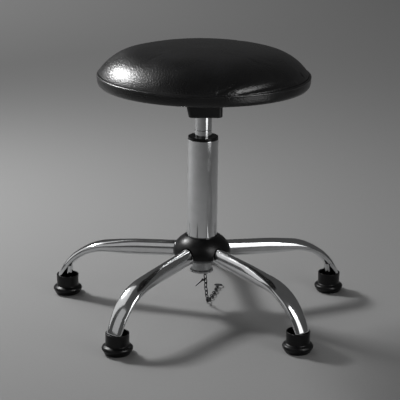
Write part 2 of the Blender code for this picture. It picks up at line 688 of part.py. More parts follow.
def make_rod():
    groove = SPINDLE_RADIUS - CLIP_GROOVE_DEPTH
    groove_top = CLIP_TOP + GAP
    groove_bottom = CLIP_TOP - CLIP_THICKNESS - GAP
    neck_top = PISTON_TOP + GAP
    profile = [
        (0.0, neck_top + ROD_HEAD_HEIGHT),
        (ROD_HEAD_RADIUS, neck_top + ROD_HEAD_HEIGHT),
        (ROD_HEAD_RADIUS, neck_top),
        (SPINDLE_RADIUS, neck_top),
        (SPINDLE_RADIUS, PISTON_BOTTOM - GAP),
        (ROD_RADIUS, PISTON_BOTTOM - GAP),
        (ROD_RADIUS, ROD_COLLAR + ROD_COLLAR_HEIGHT),
        (ROD_COLLAR_RADIUS, ROD_COLLAR + ROD_COLLAR_HEIGHT),
        (ROD_COLLAR_RADIUS, ROD_COLLAR),
        (SPINDLE_RADIUS, ROD_COLLAR),
        (SPINDLE_RADIUS, groove_top),
        (groove, groove_top),
        (groove, groove_bottom),
        (SPINDLE_RADIUS, groove_bottom),
        (SPINDLE_RADIUS, SPINDLE_END),
        (0.0, SPINDLE_END),
    ]
    turned("piston_rod", profile, CHROME, SPINDLE, closed=False, sides=SMALL_SIDES)
    piston = ring_profile(SPINDLE_RADIUS + GAP, CYLINDER_BORE - RUN_GAP, PISTON_BOTTOM, PISTON_TOP)
    turned("piston", piston, PALE_PLASTIC, SPINDLE, sides=SMALL_SIDES)
    buffer_top = BUFFER_BOTTOM + BUFFER_HEIGHT
    buffer = ring_profile(ROD_RADIUS + GAP, BUFFER_RADIUS, BUFFER_BOTTOM, buffer_top)
    turned("end_buffer", buffer, RUBBER, SPINDLE, sides=SMALL_SIDES)
    clip_profile = ring_profile(groove + GAP, CLIP_RADIUS, CLIP_TOP - CLIP_THICKNESS, CLIP_TOP)
    clip = turned("rod_clip", clip_profile, ZINC, SPINDLE, sides=SMALL_SIDES)
    shape = bmesh.new()
    low = (0.0, -CLIP_MOUTH / 2, CLIP_TOP - 2 * CLIP_THICKNESS)
    high = (2 * CLIP_RADIUS, CLIP_MOUTH / 2, CLIP_TOP + CLIP_THICKNESS)
    add_box(shape, low, high)
    combine(clip, add_cutter("clip_mouth", mesh_from("clip_mouth", shape)), "DIFFERENCE")


def make_cylinder():
    mark_top = RING_MARK_HEIGHT + RING_MARK_WIDTH / 2
    mark_bottom = RING_MARK_HEIGHT - RING_MARK_WIDTH / 2
    marked = CYLINDER_RADIUS - RING_MARK_DEPTH
    rolled = CYLINDER_WALL / 2
    profile = [
        (TAPER_TIP_RADIUS, CYLINDER_TOP),
        (CYLINDER_RADIUS, CYLINDER_TOP - TAPER_LENGTH),
        (CYLINDER_RADIUS, mark_top + RING_MARK_DEPTH),
        (marked, mark_top),
        (marked, mark_bottom),
        (CYLINDER_RADIUS, mark_bottom - RING_MARK_DEPTH),
        (CYLINDER_RADIUS, CYLINDER_BOTTOM + rolled),
        (CYLINDER_RADIUS - rolled, CYLINDER_BOTTOM),
        (CYLINDER_BORE, CYLINDER_BOTTOM),
        (CYLINDER_BORE, CYLINDER_BORE_TOP),
        (BUTTON_RADIUS + RUN_GAP, CYLINDER_BORE_TOP),
        (BUTTON_RADIUS + RUN_GAP, CYLINDER_TOP),
    ]
    turned("lift_cylinder", profile, CHROME, SEAT)
    low = CYLINDER_BOTTOM + GAP
    guide = ring_profile(ROD_RADIUS + RUN_GAP, CYLINDER_BORE - GAP, low, low + ROD_GUIDE_LENGTH)
    turned("rod_guide", guide, PALE_PLASTIC, SEAT, sides=SMALL_SIDES)
    dome = BUTTON_RADIUS / 4
    collar_top = CYLINDER_BORE_TOP - GAP
    profile = [
        (0.0, BUTTON_TOP),
        (BUTTON_RADIUS / 2, BUTTON_TOP - dome / 4),
        (BUTTON_RADIUS, BUTTON_TOP - dome),
        (BUTTON_RADIUS, collar_top),
        (BUTTON_COLLAR_RADIUS, collar_top),
        (BUTTON_COLLAR_RADIUS, collar_top - BUTTON_COLLAR_HEIGHT),
        (0.0, collar_top - BUTTON_COLLAR_HEIGHT),
    ]
    turned("release_button", profile, ZINC, BUTTON, closed=False, sides=SMALL_SIDES)


def rounded_oblong(left, right, half_length, corner, height):
    """A level rectangle with rounded corners, from x = -left to x = right."""
    points = []
    corners = ((right, 1, 0), (left, 1, 1), (left, -1, 2), (right, -1, 3))
    for reach, side, quarter in corners:
        middle_x = (reach - corner) * (1 if quarter in (0, 3) else -1)
        middle_y = (half_length - corner) * side
        for k in range(4):
            turn = math.pi / 2 * (quarter + k / 3)
            x = middle_x + corner * math.cos(turn)
            y = middle_y + corner * math.sin(turn)
            points.append(Vector((x, y, height)))
    return points


def housing_rings(inset, bottom, top):
    """The housing's outline at its foot, at the top of the flare and at its mouth."""
    right = HOUSING_RIGHT - inset
    length = HOUSING_HALF_LENGTH - inset
    corner = HOUSING_CORNER - inset
    edge = HOUSING_EDGE
    foot = HOUSING_LEFT_FOOT - inset
    left = HOUSING_LEFT - inset
    flare = HOUSING_BOTTOM + HOUSING_FLARE_HEIGHT
    return [
        rounded_oblong(foot - edge, right - edge, length - edge, corner, bottom),
        rounded_oblong(foot, right, length, corner, bottom + edge),
        rounded_oblong(left, right, length, corner, flare),
        rounded_oblong(left, right, length, corner, top),
    ]


def make_housing():
    shape = bmesh.new()
    add_skin(shape, housing_rings(0.0, HOUSING_BOTTOM, HOUSING_TOP))
    housing = add_piece("mechanism_housing", mesh_from("mechanism_housing", shape), BLACK_STEEL, SEAT)
    shape = bmesh.new()
    add_skin(shape, housing_rings(HOUSING_WALL, HOUSING_FLOOR, HOUSING_TOP + HOUSING_WALL))
    combine(housing, add_cutter("housing_hollow", mesh_from("housing_hollow", shape)), "DIFFERENCE")

    inner = LEVER_WIDTH / 2 + RUN_GAP
    low = LEVER_HEIGHT - EAR_RISE
    high = LEVER_HEIGHT + EAR_RISE
    wall = HOUSING_RIGHT - HOUSING_WALL / 2
    shape = bmesh.new()
    add_box(shape, (PIVOT_OFFSET - EAR_REACH, inner, low), (wall, inner + EAR_THICKNESS, high))
    add_box(shape, (PIVOT_OFFSET - EAR_REACH, -inner - EAR_THICKNESS, low), (wall, -inner, high))
    combine(housing, add_cutter("pivot_ears", mesh_from("pivot_ears", shape)), "UNION")

    below = HOUSING_BOTTOM - HOUSING_WALL
    shape = bmesh.new()
    add_bar(shape, CYLINDER_RADIUS + GAP, (0, 0, below), (0, 0, HOUSING_FLOOR + HOUSING_WALL), ROUND_SIDES)
    combine(housing, add_cutter("cylinder_hole", mesh_from("cylinder_hole", shape)), "DIFFERENCE")

    reach = inner + 2 * EAR_THICKNESS
    start = (PIVOT_OFFSET, -reach, LEVER_HEIGHT)
    shape = bmesh.new()
    add_bar(shape, PIN_RADIUS + GAP, start, (PIVOT_OFFSET, reach, LEVER_HEIGHT), SMALL_SIDES)
    combine(housing, add_cutter("pin_hole", mesh_from("pin_hole", shape)), "DIFFERENCE")

    half = LEVER_THICKNESS / 2 + WINDOW_ROOM
    shape = bmesh.new()
    low = (HOUSING_RIGHT - 2 * HOUSING_WALL, -inner, LEVER_HEIGHT - half)
    high = (HOUSING_RIGHT + HOUSING_WALL, inner, LEVER_HEIGHT + half)
    add_box(shape, low, high)
    combine(housing, add_cutter("lever_window", mesh_from("lever_window", shape)), "DIFFERENCE")

    socket_low = HOUSING_FLOOR + GAP
    slope = (CYLINDER_RADIUS - TAPER_TIP_RADIUS) / TAPER_LENGTH
    taper_low = CYLINDER_TOP - TAPER_LENGTH
    low_radius = CYLINDER_RADIUS - slope * (socket_low - taper_low) + GAP
    high_radius = low_radius - slope * SOCKET_LENGTH
    profile = [
        (SOCKET_RADIUS, socket_low + SOCKET_LENGTH),
        (SOCKET_RADIUS, socket_low),
        (low_radius, socket_low),
        (high_radius, socket_low + SOCKET_LENGTH),
    ]
    turned("taper_socket", profile, ZINC, SEAT)


def make_lever():
    half = LEVER_THICKNESS / 2
    top = [(-LEVER_TAIL, half), (LEVER_LEVEL_REACH, half), (LEVER_SLOPE_REACH, half - LEVER_DROP)]
    top.append((LEVER_REACH, half - LEVER_DROP))
    outline = top + [(x, z - LEVER_THICKNESS) for x, z in top[::-1]]
    shape = bmesh.new()
    sides = (-LEVER_WIDTH / 2, LEVER_WIDTH / 2)
    add_skin(shape, [[Vector((x, side, z)) for x, z in outline] for side in sides])
    lever = add_piece("release_lever", mesh_from("release_lever", shape), ZINC, LEVER)
    reach = LEVER_WIDTH / 2
    shape = bmesh.new()
    add_bar(shape, LEVER_BOSS_RADIUS, (0.0, -reach, 0.0), (0.0, reach, 0.0), SMALL_SIDES)
    boss = add_cutter("lever_boss", mesh_from("lever_boss", shape))
    boss.parent = LEVER
    combine(lever, boss, "UNION")
    shape = bmesh.new()
    add_bar(shape, PIN_RADIUS + RUN_GAP, (0.0, -2 * reach, 0.0), (0.0, 2 * reach, 0.0), SMALL_SIDES)
    bore = add_cutter("lever_bore", mesh_from("lever_bore", shape))
    bore.parent = LEVER
    combine(lever, bore, "DIFFERENCE")

    inner = LEVER_WIDTH / 2 + RUN_GAP
    low = -inner - EAR_THICKNESS
    high = inner + EAR_THICKNESS + GAP
    profile = [
        (0.0, high + PIN_HEAD_HEIGHT),
        (PIN_HEAD_RADIUS, high + PIN_HEAD_HEIGHT),
        (PIN_HEAD_RADIUS, high),
        (PIN_RADIUS, high),
        (PIN_RADIUS, low),
        (0.0, low),
    ]
    pin = turned("lever_pin", profile, ZINC, SEAT, closed=False, sides=SMALL_SIDES)
    pin.location = (PIVOT_OFFSET, 0.0, LEVER_HEIGHT)
    pin.rotation_euler.x = -math.pi / 2


def make_grip():
    """A flat rounded paddle, narrower at the lever's end."""
    rings = []
    count = 8
    for k in range(count + 1):
        share = k / count
        x = GRIP_START + (GRIP_END - GRIP_START) * share
        fullness = math.sqrt(1 - max(0.0, (share - 0.75) / 0.27) ** 2)
        width = GRIP_WIDTH / 2 * (0.72 + 0.28 * math.sin(math.pi / 2 * min(1.0, share / 0.7))) * fullness
        height = GRIP_HEIGHT / 2 * (0.5 + 0.5 * fullness)
        ring = []
        for i in range(GRIP_SIDES):
            turn = 2 * math.pi * (i + 0.5) / GRIP_SIDES
            side = math.copysign(abs(math.cos(turn)) ** 0.6, math.cos(turn))
            rise = math.copysign(abs(math.sin(turn)) ** 0.6, math.sin(turn))
            ring.append(Vector((x, width * side, height * rise - LEVER_DROP)))
        rings.append(ring)
    shape = bmesh.new()
    add_skin(shape, rings)
    grip = add_piece("lever_grip", mesh_from("lever_grip", shape), BLACK_PLASTIC, LEVER)
    half = LEVER_THICKNESS / 2 + GAP
    side = LEVER_WIDTH / 2 + GAP
    shape = bmesh.new()
    low = (GRIP_START - LEVER_WIDTH, -side, -LEVER_DROP - half)
    add_box(shape, low, (LEVER_REACH + GAP, side, -LEVER_DROP + half))
    slot = add_cutter("grip_slot", mesh_from("grip_slot", shape))
    slot.parent = LEVER
    combine(grip, slot, "DIFFERENCE")


def bolt_places():
    half = BOLT_SPACING / 2
    return [(x, y) for x in (-half, half) for y in (-half, half)]


def make_plate_and_board():
    half = PLATE_SIDE / 2
    shape = bmesh.new()
    heights = (PLATE_BOTTOM, PLATE_BOTTOM + PLATE_THICKNESS)
    add_skin(shape, [rounded_oblong(half, half, half, PLATE_CORNER, z) for z in heights])
    plate = add_piece("seat_plate", mesh_from("seat_plate", shape), BLACK_STEEL, SEAT)
    shape = bmesh.new()
    for x, y in bolt_places():
        start = (x, y, PLATE_BOTTOM - PLATE_THICKNESS)
        add_bar(shape, BOLT_RADIUS + GAP, start, (x, y, SEAT_BOTTOM + BOLT_GRIP + GAP), 12)
    holes = add_cutter("bolt_holes", mesh_from("bolt_holes", shape))
    combine(plate, holes, "DIFFERENCE")
    profile = [(0.0, BOARD_TOP), (BOARD_RADIUS, BOARD_TOP), (BOARD_RADIUS, SEAT_BOTTOM), (0.0, SEAT_BOTTOM)]
    board = turned("seat_board", profile, PLYWOOD, SEAT, closed=False, sides=FINE_SIDES)
    combine(board, holes, "DIFFERENCE")


def make_bolts():
    head_top = PLATE_BOTTOM - GAP
    shape = bmesh.new()
    add_bar(shape, BOLT_HEAD_RADIUS, (0.0, 0.0, head_top - BOLT_HEAD_HEIGHT), (0.0, 0.0, head_top), 6)
    bolt = add_piece("bolt", mesh_from("bolt", shape), ZINC, SEAT)
    shape = bmesh.new()
    middle = head_top - BOLT_HEAD_HEIGHT / 2
    add_bar(shape, BOLT_RADIUS, (0.0, 0.0, middle), (0.0, 0.0, SEAT_BOTTOM + BOLT_GRIP), 12)
    combine(bolt, add_cutter("bolt_shank", mesh_from("bolt_shank", shape)), "UNION")
    mesh = baked_mesh(bolt)
    for i, (x, y) in enumerate(bolt_places()):
        placed = add_piece(f"seat_bolt_{i + 1}", mesh, ZINC, SEAT)
        placed.location = (x, y, 0.0)


def crown_height(radius):
    return CROWN_BASE + CROWN_RISE * (1 - (radius / CROWN_RADIUS) ** CROWN_FULLNESS) ** (1 / CROWN_EDGE)


def make_cushion():
    """The padded top: a crown that drops to a piped seam, over a low drawn-in band."""
    bed = PIPING_RADIUS + GAP
    crown_edge = PIPING_CIRCLE - 2 * bed
    radii = [crown_edge * math.sin(math.pi / 2 * k / CROWN_RINGS) for k in range(CROWN_RINGS + 1)]
    crown = [(radius, crown_height(radius)) for radius in radii]
    turns = [math.radians(205 + 20 * k) for k in range(5)]
    seam = [(PIPING_CIRCLE + bed * math.cos(t), PIPING_HEIGHT + bed * math.sin(t)) for t in turns]
    shares = [k / 6 for k in range(7)]
    band = []
    for share in shares:
        swell = math.sin(math.pi * (0.25 + 0.55 * share)) ** 0.7
        radius = BAND_RADIUS - BAND_DRAW_IN * (1 - swell)
        band.append((radius, SEAT_BOTTOM + BAND_HEIGHT * (1 - share)))
    side = BOARD_RADIUS + GAP
    floor = BOARD_TOP + GAP
    under = [(side, SEAT_BOTTOM), (side, floor), (side / 2, floor), (0.0, floor)]
    profile = crown + seam + band[1:] + under
    turned("seat_cushion", profile, LEATHER, SEAT, closed=False, sides=FINE_SIDES)
    piping = add_piece("seat_piping", torus_mesh(PIPING_CIRCLE, PIPING_RADIUS, FINE_SIDES), LEATHER, SEAT)
    piping.location.z = PIPING_HEIGHT


def curve_through(points, steps=24):
    """A smooth curve through the points, as many short steps."""
    knots = [Vector(p) for p in points]
    knots = [2 * knots[0] - knots[1]] + knots + [2 * knots[-1] - knots[-2]]
    line = []
    for a, b, c, d in zip(knots, knots[1:], knots[2:], knots[3:]):
        for k in range(steps):
            t = k / steps
            bend = (2 * a - 5 * b + 4 * c - d) * t**2 + (3 * b - a - 3 * c + d) * t**3
            line.append((2 * b + (c - a) * t + bend) / 2)
    return line + [knots[-2]]


def chain_hooks():
    """The points where each link hangs in the one before it, one pitch apart."""
    top = Vector((*EYE_PLACE, CHAIN_TOP))
    hooks = [top]
    for point in curve_through([top] + CHAIN_ROUTE):
        if (point - hooks[-1]).length >= LINK_PITCH and len(hooks) <= LINK_COUNT:
            hooks.append(hooks[-1] + (point - hooks[-1]).normalized() * LINK_PITCH)
    return hooks


def link_frames(hooks):
    """A matrix for each link: X along it, Z across its flat face, turned a quarter from its neighbours."""
    frames = []
    face = Vector((0.0, -1.0, 0.0))
    for i, (start, end) in enumerate(zip(hooks, hooks[1:])):
        along = (end - start).normalized()
        face = (face - face.dot(along) * along).normalized()
        twist = LINK_TWIST if i % 2 else -LINK_TWIST
        twist += LINK_TWIST * max(0.0, (i + 1 - LINK_COUNT) / LINK_ROLL_COUNT + 1)
        normal = Matrix.Rotation(twist, 3, along) @ face
        frames.append(frame_matrix((start + end) / 2, along, normal.cross(along)))
    return frames


def link_curve():
    """One link: a round wire bent to a long ring."""
    bend = (LINK_WIDTH - LINK_WIRE) / 2
    reach = (LINK_LENGTH - LINK_WIRE) / 2 - bend
    curve = bpy.data.curves.new("chain_link", "CURVE")
    curve.dimensions = "3D"
    curve.bevel_depth = LINK_WIRE / 2
    curve.bevel_resolution = 1
    spline = curve.splines.new("POLY")
    spline.use_cyclic_u = True
    spline.points.add(LINK_POINTS - 1)
    for k, point in enumerate(spline.points):
        turn = 2 * math.pi * (k + 0.5) / LINK_POINTS
        shift = math.copysign(reach, math.cos(turn))
        point.co = (shift + bend * math.cos(turn), bend * math.sin(turn), 0.0, 1.0)
    curve.materials.append(ZINC)
    return curve


def make_tie(frame):
    """A cable tie through one link: a small loop round the link's side, its head and its free tail."""
    side = frame.col[1].to_3d()
    normal = frame.col[2].to_3d()
    tail_way = TIE_TAIL_DIRECTION.normalized()
    outward = side if side.dot(tail_way) > 0 else -side
    middle = frame.translation + outward * (LINK_WIDTH - LINK_WIRE) / 2
    tie = add_piece("cable_tie", torus_mesh(TIE_LOOP_RADIUS, TIE_BAND / 2, 12), BLACK_PLASTIC, BASE)
    tie.matrix_basis = frame_matrix(middle, outward, normal)
    head_middle = middle + outward * (TIE_LOOP_RADIUS + TIE_HEAD / 2)
    width_way = tail_way.cross(normal).normalized()
    thick_way = width_way.cross(tail_way)

    def slab(reach, width, thickness):
        corners = ((1, 1), (-1, 1), (-1, -1), (1, -1))
        centre = head_middle + tail_way * reach
        return [centre + width_way * u * width / 2 + thick_way * v * thickness / 2 for u, v in corners]

    shape = bmesh.new()
    add_skin(shape, [slab(reach, TIE_HEAD, TIE_HEAD) for reach in (-TIE_HEAD / 2, TIE_HEAD / 2)])
    combine(tie, add_cutter("tie_head", mesh_from("tie_head", shape)), "UNION")
    shape = bmesh.new()
    tail = [slab(0.0, TIE_TAIL_WIDTH, TIE_TAIL_THICKNESS)]
    tail.append(slab(TIE_TAIL_LENGTH, TIE_TAIL_TIP, TIE_TAIL_THICKNESS))
    add_skin(shape, tail)
    combine(tie, add_cutter("tie_tail", mesh_from("tie_tail", shape)), "UNION")


def make_chain():
    hooks = chain_hooks()
    frames = link_frames(hooks)
    curve = link_curve()
    for i, frame in enumerate(frames):
        link = bpy.data.objects.new(f"chain_link_{i + 1:02d}", curve)
        PARTS.objects.link(link)
        link.parent = BASE
        link.matrix_basis = frame
    make_tie(frames[TIE_LINK])

    middle = Vector((*EYE_PLACE, EYE_MIDDLE))
    first_face = frames[0].col[2].to_3d()
    eye_normal = Vector((first_face.y, -first_face.x, 0.0)).normalized()
    up = Vector((0.0, 0.0, 1.0))
    eye = add_piece("chain_eye", torus_mesh(EYE_RADIUS, EYE_WIRE / 2, 12), ZINC, BASE)
    eye.matrix_basis = frame_matrix(middle, up, eye_normal.cross(up))
    shape = bmesh.new()
    stem_foot = middle + up * EYE_RADIUS
    add_bar(shape, EYE_STEM_RADIUS, stem_foot, Vector((*stem_foot.xy, STUB_END + EYE_STEM_DEPTH)), 8)
    combine(eye, add_cutter("eye_stem", mesh_from("eye_stem", shape)), "UNION")

    along = frames[-1].col[0].to_3d()
    sag = hooks[-1].z - END_RING_WIRE / 2 - GAP
    along.z = -sag / (2 * END_RING_RADIUS)
    along.normalize()
    across = up.cross(along).normalized()
    reach = END_RING_RADIUS - (LINK_WIRE + END_RING_WIRE) / 4 - GAP / 2 - END_RING_SLACK
    hoop = torus_mesh(END_RING_RADIUS, END_RING_WIRE / 2, SMALL_SIDES)
    ring = add_piece("chain_end_ring", hoop, ZINC, BASE)
    ring.matrix_basis = frame_matrix(hooks[-1] + along * reach, along, across)


make_legs()
make_glides()
make_hub()
make_cover()
make_column()
make_nut()
make_bearing()
make_rod()
make_cylinder()
make_housing()
make_lever()
make_grip()
make_plate_and_board()
make_bolts()
make_cushion()
make_chain()
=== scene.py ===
"""Backless laboratory stool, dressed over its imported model.

A round padded seat on a gas lift stands on a base of pressed chromed tubes, with cup glides and an earthing
chain. Metres, +Z up. The origin is on the floor, on the axis of the column, and one leg points along +Y.
"""

import math

import bmesh
import bpy
import numpy
from bpy.props import FloatProperty, FloatVectorProperty, IntProperty, PointerProperty
from mathutils import Matrix, Vector, noise


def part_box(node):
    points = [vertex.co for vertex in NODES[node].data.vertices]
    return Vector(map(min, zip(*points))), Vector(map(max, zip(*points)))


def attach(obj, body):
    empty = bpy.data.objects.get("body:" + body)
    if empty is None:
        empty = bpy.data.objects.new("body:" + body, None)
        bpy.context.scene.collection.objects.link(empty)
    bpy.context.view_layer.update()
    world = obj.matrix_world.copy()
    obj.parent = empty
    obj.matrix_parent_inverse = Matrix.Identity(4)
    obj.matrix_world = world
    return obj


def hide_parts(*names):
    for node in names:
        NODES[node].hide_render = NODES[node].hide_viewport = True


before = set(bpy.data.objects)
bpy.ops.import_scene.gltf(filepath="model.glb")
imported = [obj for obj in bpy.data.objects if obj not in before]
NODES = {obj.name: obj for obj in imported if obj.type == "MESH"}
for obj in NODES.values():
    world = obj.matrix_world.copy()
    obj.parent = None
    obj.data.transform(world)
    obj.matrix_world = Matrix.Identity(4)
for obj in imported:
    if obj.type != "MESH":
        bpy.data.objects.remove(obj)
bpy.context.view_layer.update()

bl_info = {
    "name": "Laboratory stool",
    "version": (1, 0, 0),
    "blender": (4, 5, 0),
    "location": "View3D > Sidebar > Stool",
    "description": "Builds the visible pieces of a backless laboratory stool round its packed model",
    "category": "Object",
}

LEG_COUNT = 5
MERGE = 0.00002
GAP = 0.0003
SMOOTH = math.radians(35)
ROUND_SMOOTH = math.radians(60)
TURNED_STEPS = 96
UP = Vector((0.0, 0.0, 1.0))


def linear(hex_colour):
    """An sRGB hex colour as linear red, green and blue."""
    values = [int(hex_colour[k : k + 2], 16) / 255 for k in (1, 3, 5)]
    return tuple(v / 12.92 if v <= 0.04045 else ((v + 0.055) / 1.055) ** 2.4 for v in values)


def length(name, description, metres):
    return FloatProperty(name=name, description=description, default=metres, unit="LENGTH", precision=4)


def angle(name, description, degrees):
    return FloatProperty(name=name, description=description, default=math.radians(degrees), subtype="ANGLE")


def lamp_power(name, description, watts):
    return FloatProperty(name=name, description=description, default=watts, unit="POWER")


def number(name, description, default):
    return FloatProperty(name=name, description=description, default=default)


def tally(name, description, default):
    return IntProperty(name=name, description=description, default=default)


def colour(name, description, hex_colour):
    return FloatVectorProperty(
        name=name, description=description, default=linear(hex_colour), subtype="COLOR", min=0, max=1
    )


class StoolColours(bpy.types.PropertyGroup):
    leather: colour("Leather", "Coated seat leather", "#131314")
    chrome: colour("Chrome", "Chrome plate on legs, column and gas spring", "#e0e1e2")
    zinc: colour("Zinc", "Zinc plate on nut, bolts and lever", "#c8c9ca")
    wire: colour("Wire", "Darkened steel of the chain", "#3c3c3e")
    # The sleeve's steel is dark partly as painted shade, standing for the deep shade in the gaps round the
    # legs in the cover's slots.
    steel: colour("Steel", "Rolled steel of the hub's sleeve", "#77787a")
    bearing: colour("Bearing steel", "Ground races and balls", "#b9babd")
    paint: colour("Paint", "Black paint on housing and seat plate", "#141415")
    plastic: colour("Plastic", "Black moulded cover, glides and bush", "#0b0b0c")
    acetal: colour("Acetal", "Pale guides inside the gas spring", "#c3c2bd")
    rubber: colour("Rubber", "Buffer inside the gas spring", "#141414")
    plywood: colour("Plywood", "Black stained seat board", "#2a2725")
    floor: colour("Floor", "Pale studio floor", "#9c9c9c")


class SeatSizes(bpy.types.PropertyGroup):
    crown_rise: length("Crown rise", "Height of the crown's formula above its base", 0.0545)
    crown_base: length("Crown base", "Height of the crown's formula at its rim", 0.3908)
    crown_radius: length("Crown radius", "Radius of the crown's formula", 0.1711)
    crown_rim: length("Crown rim", "Radius where the top panel goes in under the piping", 0.1684)
    crown_fullness: number("Crown fullness", "How flat the crown's top is", 3.855)
    crown_edge: number("Crown edge", "How round the crown's edge is", 1.394)
    crown_cells: tally("Crown cells", "Faces across the crown before smoothing", 120)
    slack: length("Slack", "How far the middle of the sewn cover starts under its final shape", 0.0017)
    slack_radius: length("Slack radius", "Radius of that lower middle", 0.09)
    lean: length("Lean", "How much fuller the filling is towards the left edge", 0.0040)
    right_lean: length("Right lean", "How much fuller the filling is towards the right edge", 0.0026)
    swell_cap: length("Swell cap", "The most that the filling may lift the cover", 0.003)
    seam_height: length("Seam height", "Height of the piped seam", 0.3995)
    piping: length("Piping", "Radius of the piping", 0.0023)
    puckers: tally("Puckers", "Small puckers along the seam", 90)
    pucker_depth: length("Pucker depth", "How far a pucker stands out", 0.00012)
    band_radius: length("Band radius", "Widest radius of the side band", 0.1724)
    band_draw: length("Band draw", "How far the band is drawn in at its edges", 0.004)
    seat_bottom: length("Seat bottom", "Height of the seat board's underside", 0.385)
    board_top: length("Board top", "Height of the seat board's upper face", 0.397)
    board_radius: length("Board radius", "Radius of the seat board", 0.160)
    leather: length("Leather", "Thickness of the leather", 0.0012)
    hem_radius: length("Hem radius", "Inner radius of the leather turned under the board", 0.138)
    pleats: tally("Pleats", "Pleats in the leather that is turned under the board", 44)
    pleat_depth: length("Pleat depth", "How far a pleat stands out from the hem", 0.0012)
    staples: tally("Staples", "Staples that hold the turned leather", 44)


class ColumnSizes(bpy.types.PropertyGroup):
    gap: length("Gap", "Room between pieces that touch", GAP)
    slide_gap: length("Slide gap", "Room round pieces that slide", 0.0004)
    column: length("Column", "Radius of the column tube", 0.025)
    column_wall: length("Column wall", "Wall of the column tube and of the gas spring", 0.002)
    column_top: length("Column top", "Height of the column tube's end", 0.2934)
    bush: length("Bush", "Radius of the guide bush's flange", 0.0245)
    spring: length("Gas spring", "Radius of the gas spring's body", 0.014)
    spring_head: length("Spring head", "Depth of the gas spring's solid head", 0.021)
    taper: length("Taper", "Length of the gas spring's taper", 0.028)
    taper_tip: length("Taper tip", "Radius of the taper at its end", 0.0132)
    button: length("Button", "Radius of the release button", 0.004)
    mark_height: length("Ring mark height", "Height of the ring rolled into the gas spring", 0.3088)
    mark_width: length("Ring mark width", "Width of that ring", 0.0008)
    mark_depth: length("Ring mark depth", "Depth of that ring", 0.0004)
    cover: length("Cover", "Widest radius of the hub cover", 0.04775)
    cover_middle: length("Cover middle", "Height of the hub cover's widest part", 0.1004)
    cover_rise: length("Cover rise", "Height of the cover's dome over its widest part", 0.0347)
    cover_skirt: length("Cover skirt", "Depth of the cover below its widest part", 0.0032)
    cover_wall: length("Cover wall", "Thickness of the hub cover", 0.0025)
    lip_width: length("Lip width", "Width of the cover's lip round the column", 0.003)
    lip_height: length("Lip height", "Height of that lip", 0.0006)
    slot_gap: length("Slot gap", "Room round a leg in its slot", 0.0014)
    stub: length("Stub", "Radius of the stub that the nut is on", 0.011)
    nut_neck: length("Nut neck", "Radius of the nut's neck at its top", 0.0135)
    nut_rim: length("Nut rim", "Radius of the nut's rim", 0.0197)
    nut_rim_height: length("Nut rim height", "Height of the nut's rim", 0.0032)
    nut_dish: length("Nut flare", "How far the neck's flare runs out on to the rim", 0.0012)
    nut_notches: tally("Nut notches", "Notches round the nut's rim", 12)
    nut_notch_width: length("Notch width", "Width of a notch", 0.0024)
    nut_notch_depth: length("Notch depth", "Depth of a notch", 0.0022)


class LegSizes(bpy.types.PropertyGroup):
    tube: length("Tube", "Diameter of the round tube that a leg is pressed from", 0.025)
    sides: tally("Sides", "Faces round a leg", 48)
    root_height: length("Root height", "Height of the tube's middle at the hub", 0.1012)
    hub_radius: length("Hub radius", "Radius of the sleeve that the tubes are welded to", 0.036)
    fall: angle("Fall", "Slope of the straight tube", 3.8)
    bend_start: length("Bend start", "Distance from the column where the bend starts", 0.1655)
    bend_radius: length("Bend radius", "Radius of the bend, along the tube's side edge", 0.095)
    end_height: length("End height", "Height of the tube's end above the floor", 0.031)
    hub_depth: length("Hub depth", "Height of the oval at the hub", 0.0272)
    bend_depth: length("Bend depth", "Height of the oval where it is pressed flat", 0.0136)
    end_width: length("End width", "Width of the shell at its end", 0.028)
    press_lead: length("Press lead", "Distance before the bend where the pressing starts", 0.056)
    press_run: length("Press run", "Distance past the bend's start where the pressing is full", 0.054)
    square: number("Square", "How square the pressing leaves the oval", 0.22)
    wrap: number("Wrap", "How far the shell reaches round, against half the tube", 1.33)
    shell: length("Shell", "Thickness of the shell that covers the foot", 0.0022)
    stem: length("Stem", "Radius of the stem in the glide", 0.0066)
    stem_offset: length("Stem offset", "From the glide's middle back to the stem", 0.0033)
    glide_offset: length("Glide offset", "From the tube's end back to the glide's middle", 0.0093)
    glide_sole: length("Glide sole", "Thickness of the glide's sole under the stem", 0.006)
    sole: length("Sole", "Radius of the glide's sole", 0.0200)
    bead: length("Bead", "Radius of the glide's bead", 0.0245)
    bead_middle: length("Bead middle", "Height of the bead's widest part", 0.0088)
    bead_top: length("Bead top", "Height of the bead's upper edge", 0.0142)
    cup: length("Cup", "Radius of the glide's cup", 0.0188)
    cup_wall: length("Cup wall", "Thickness of the cup", 0.0016)
    cup_floor: length("Cup floor", "Height of the cup's floor", 0.016)
    cup_rim: length("Cup rim", "Height of the cup's rim", 0.034)


class ChainSizes(bpy.types.PropertyGroup):
    link_length: length("Link length", "Length of a link", 0.0113)
    link_width: length("Link width", "Width of a link", 0.0068)
    wire: length("Wire", "Diameter of a link's wire", 0.0016)
    ring_radius: length("Ring radius", "Radius of the end ring, to the middle of its wire", 0.0066)
    ring_wire: length("Ring wire", "Diameter of the end ring's wire", 0.0017)


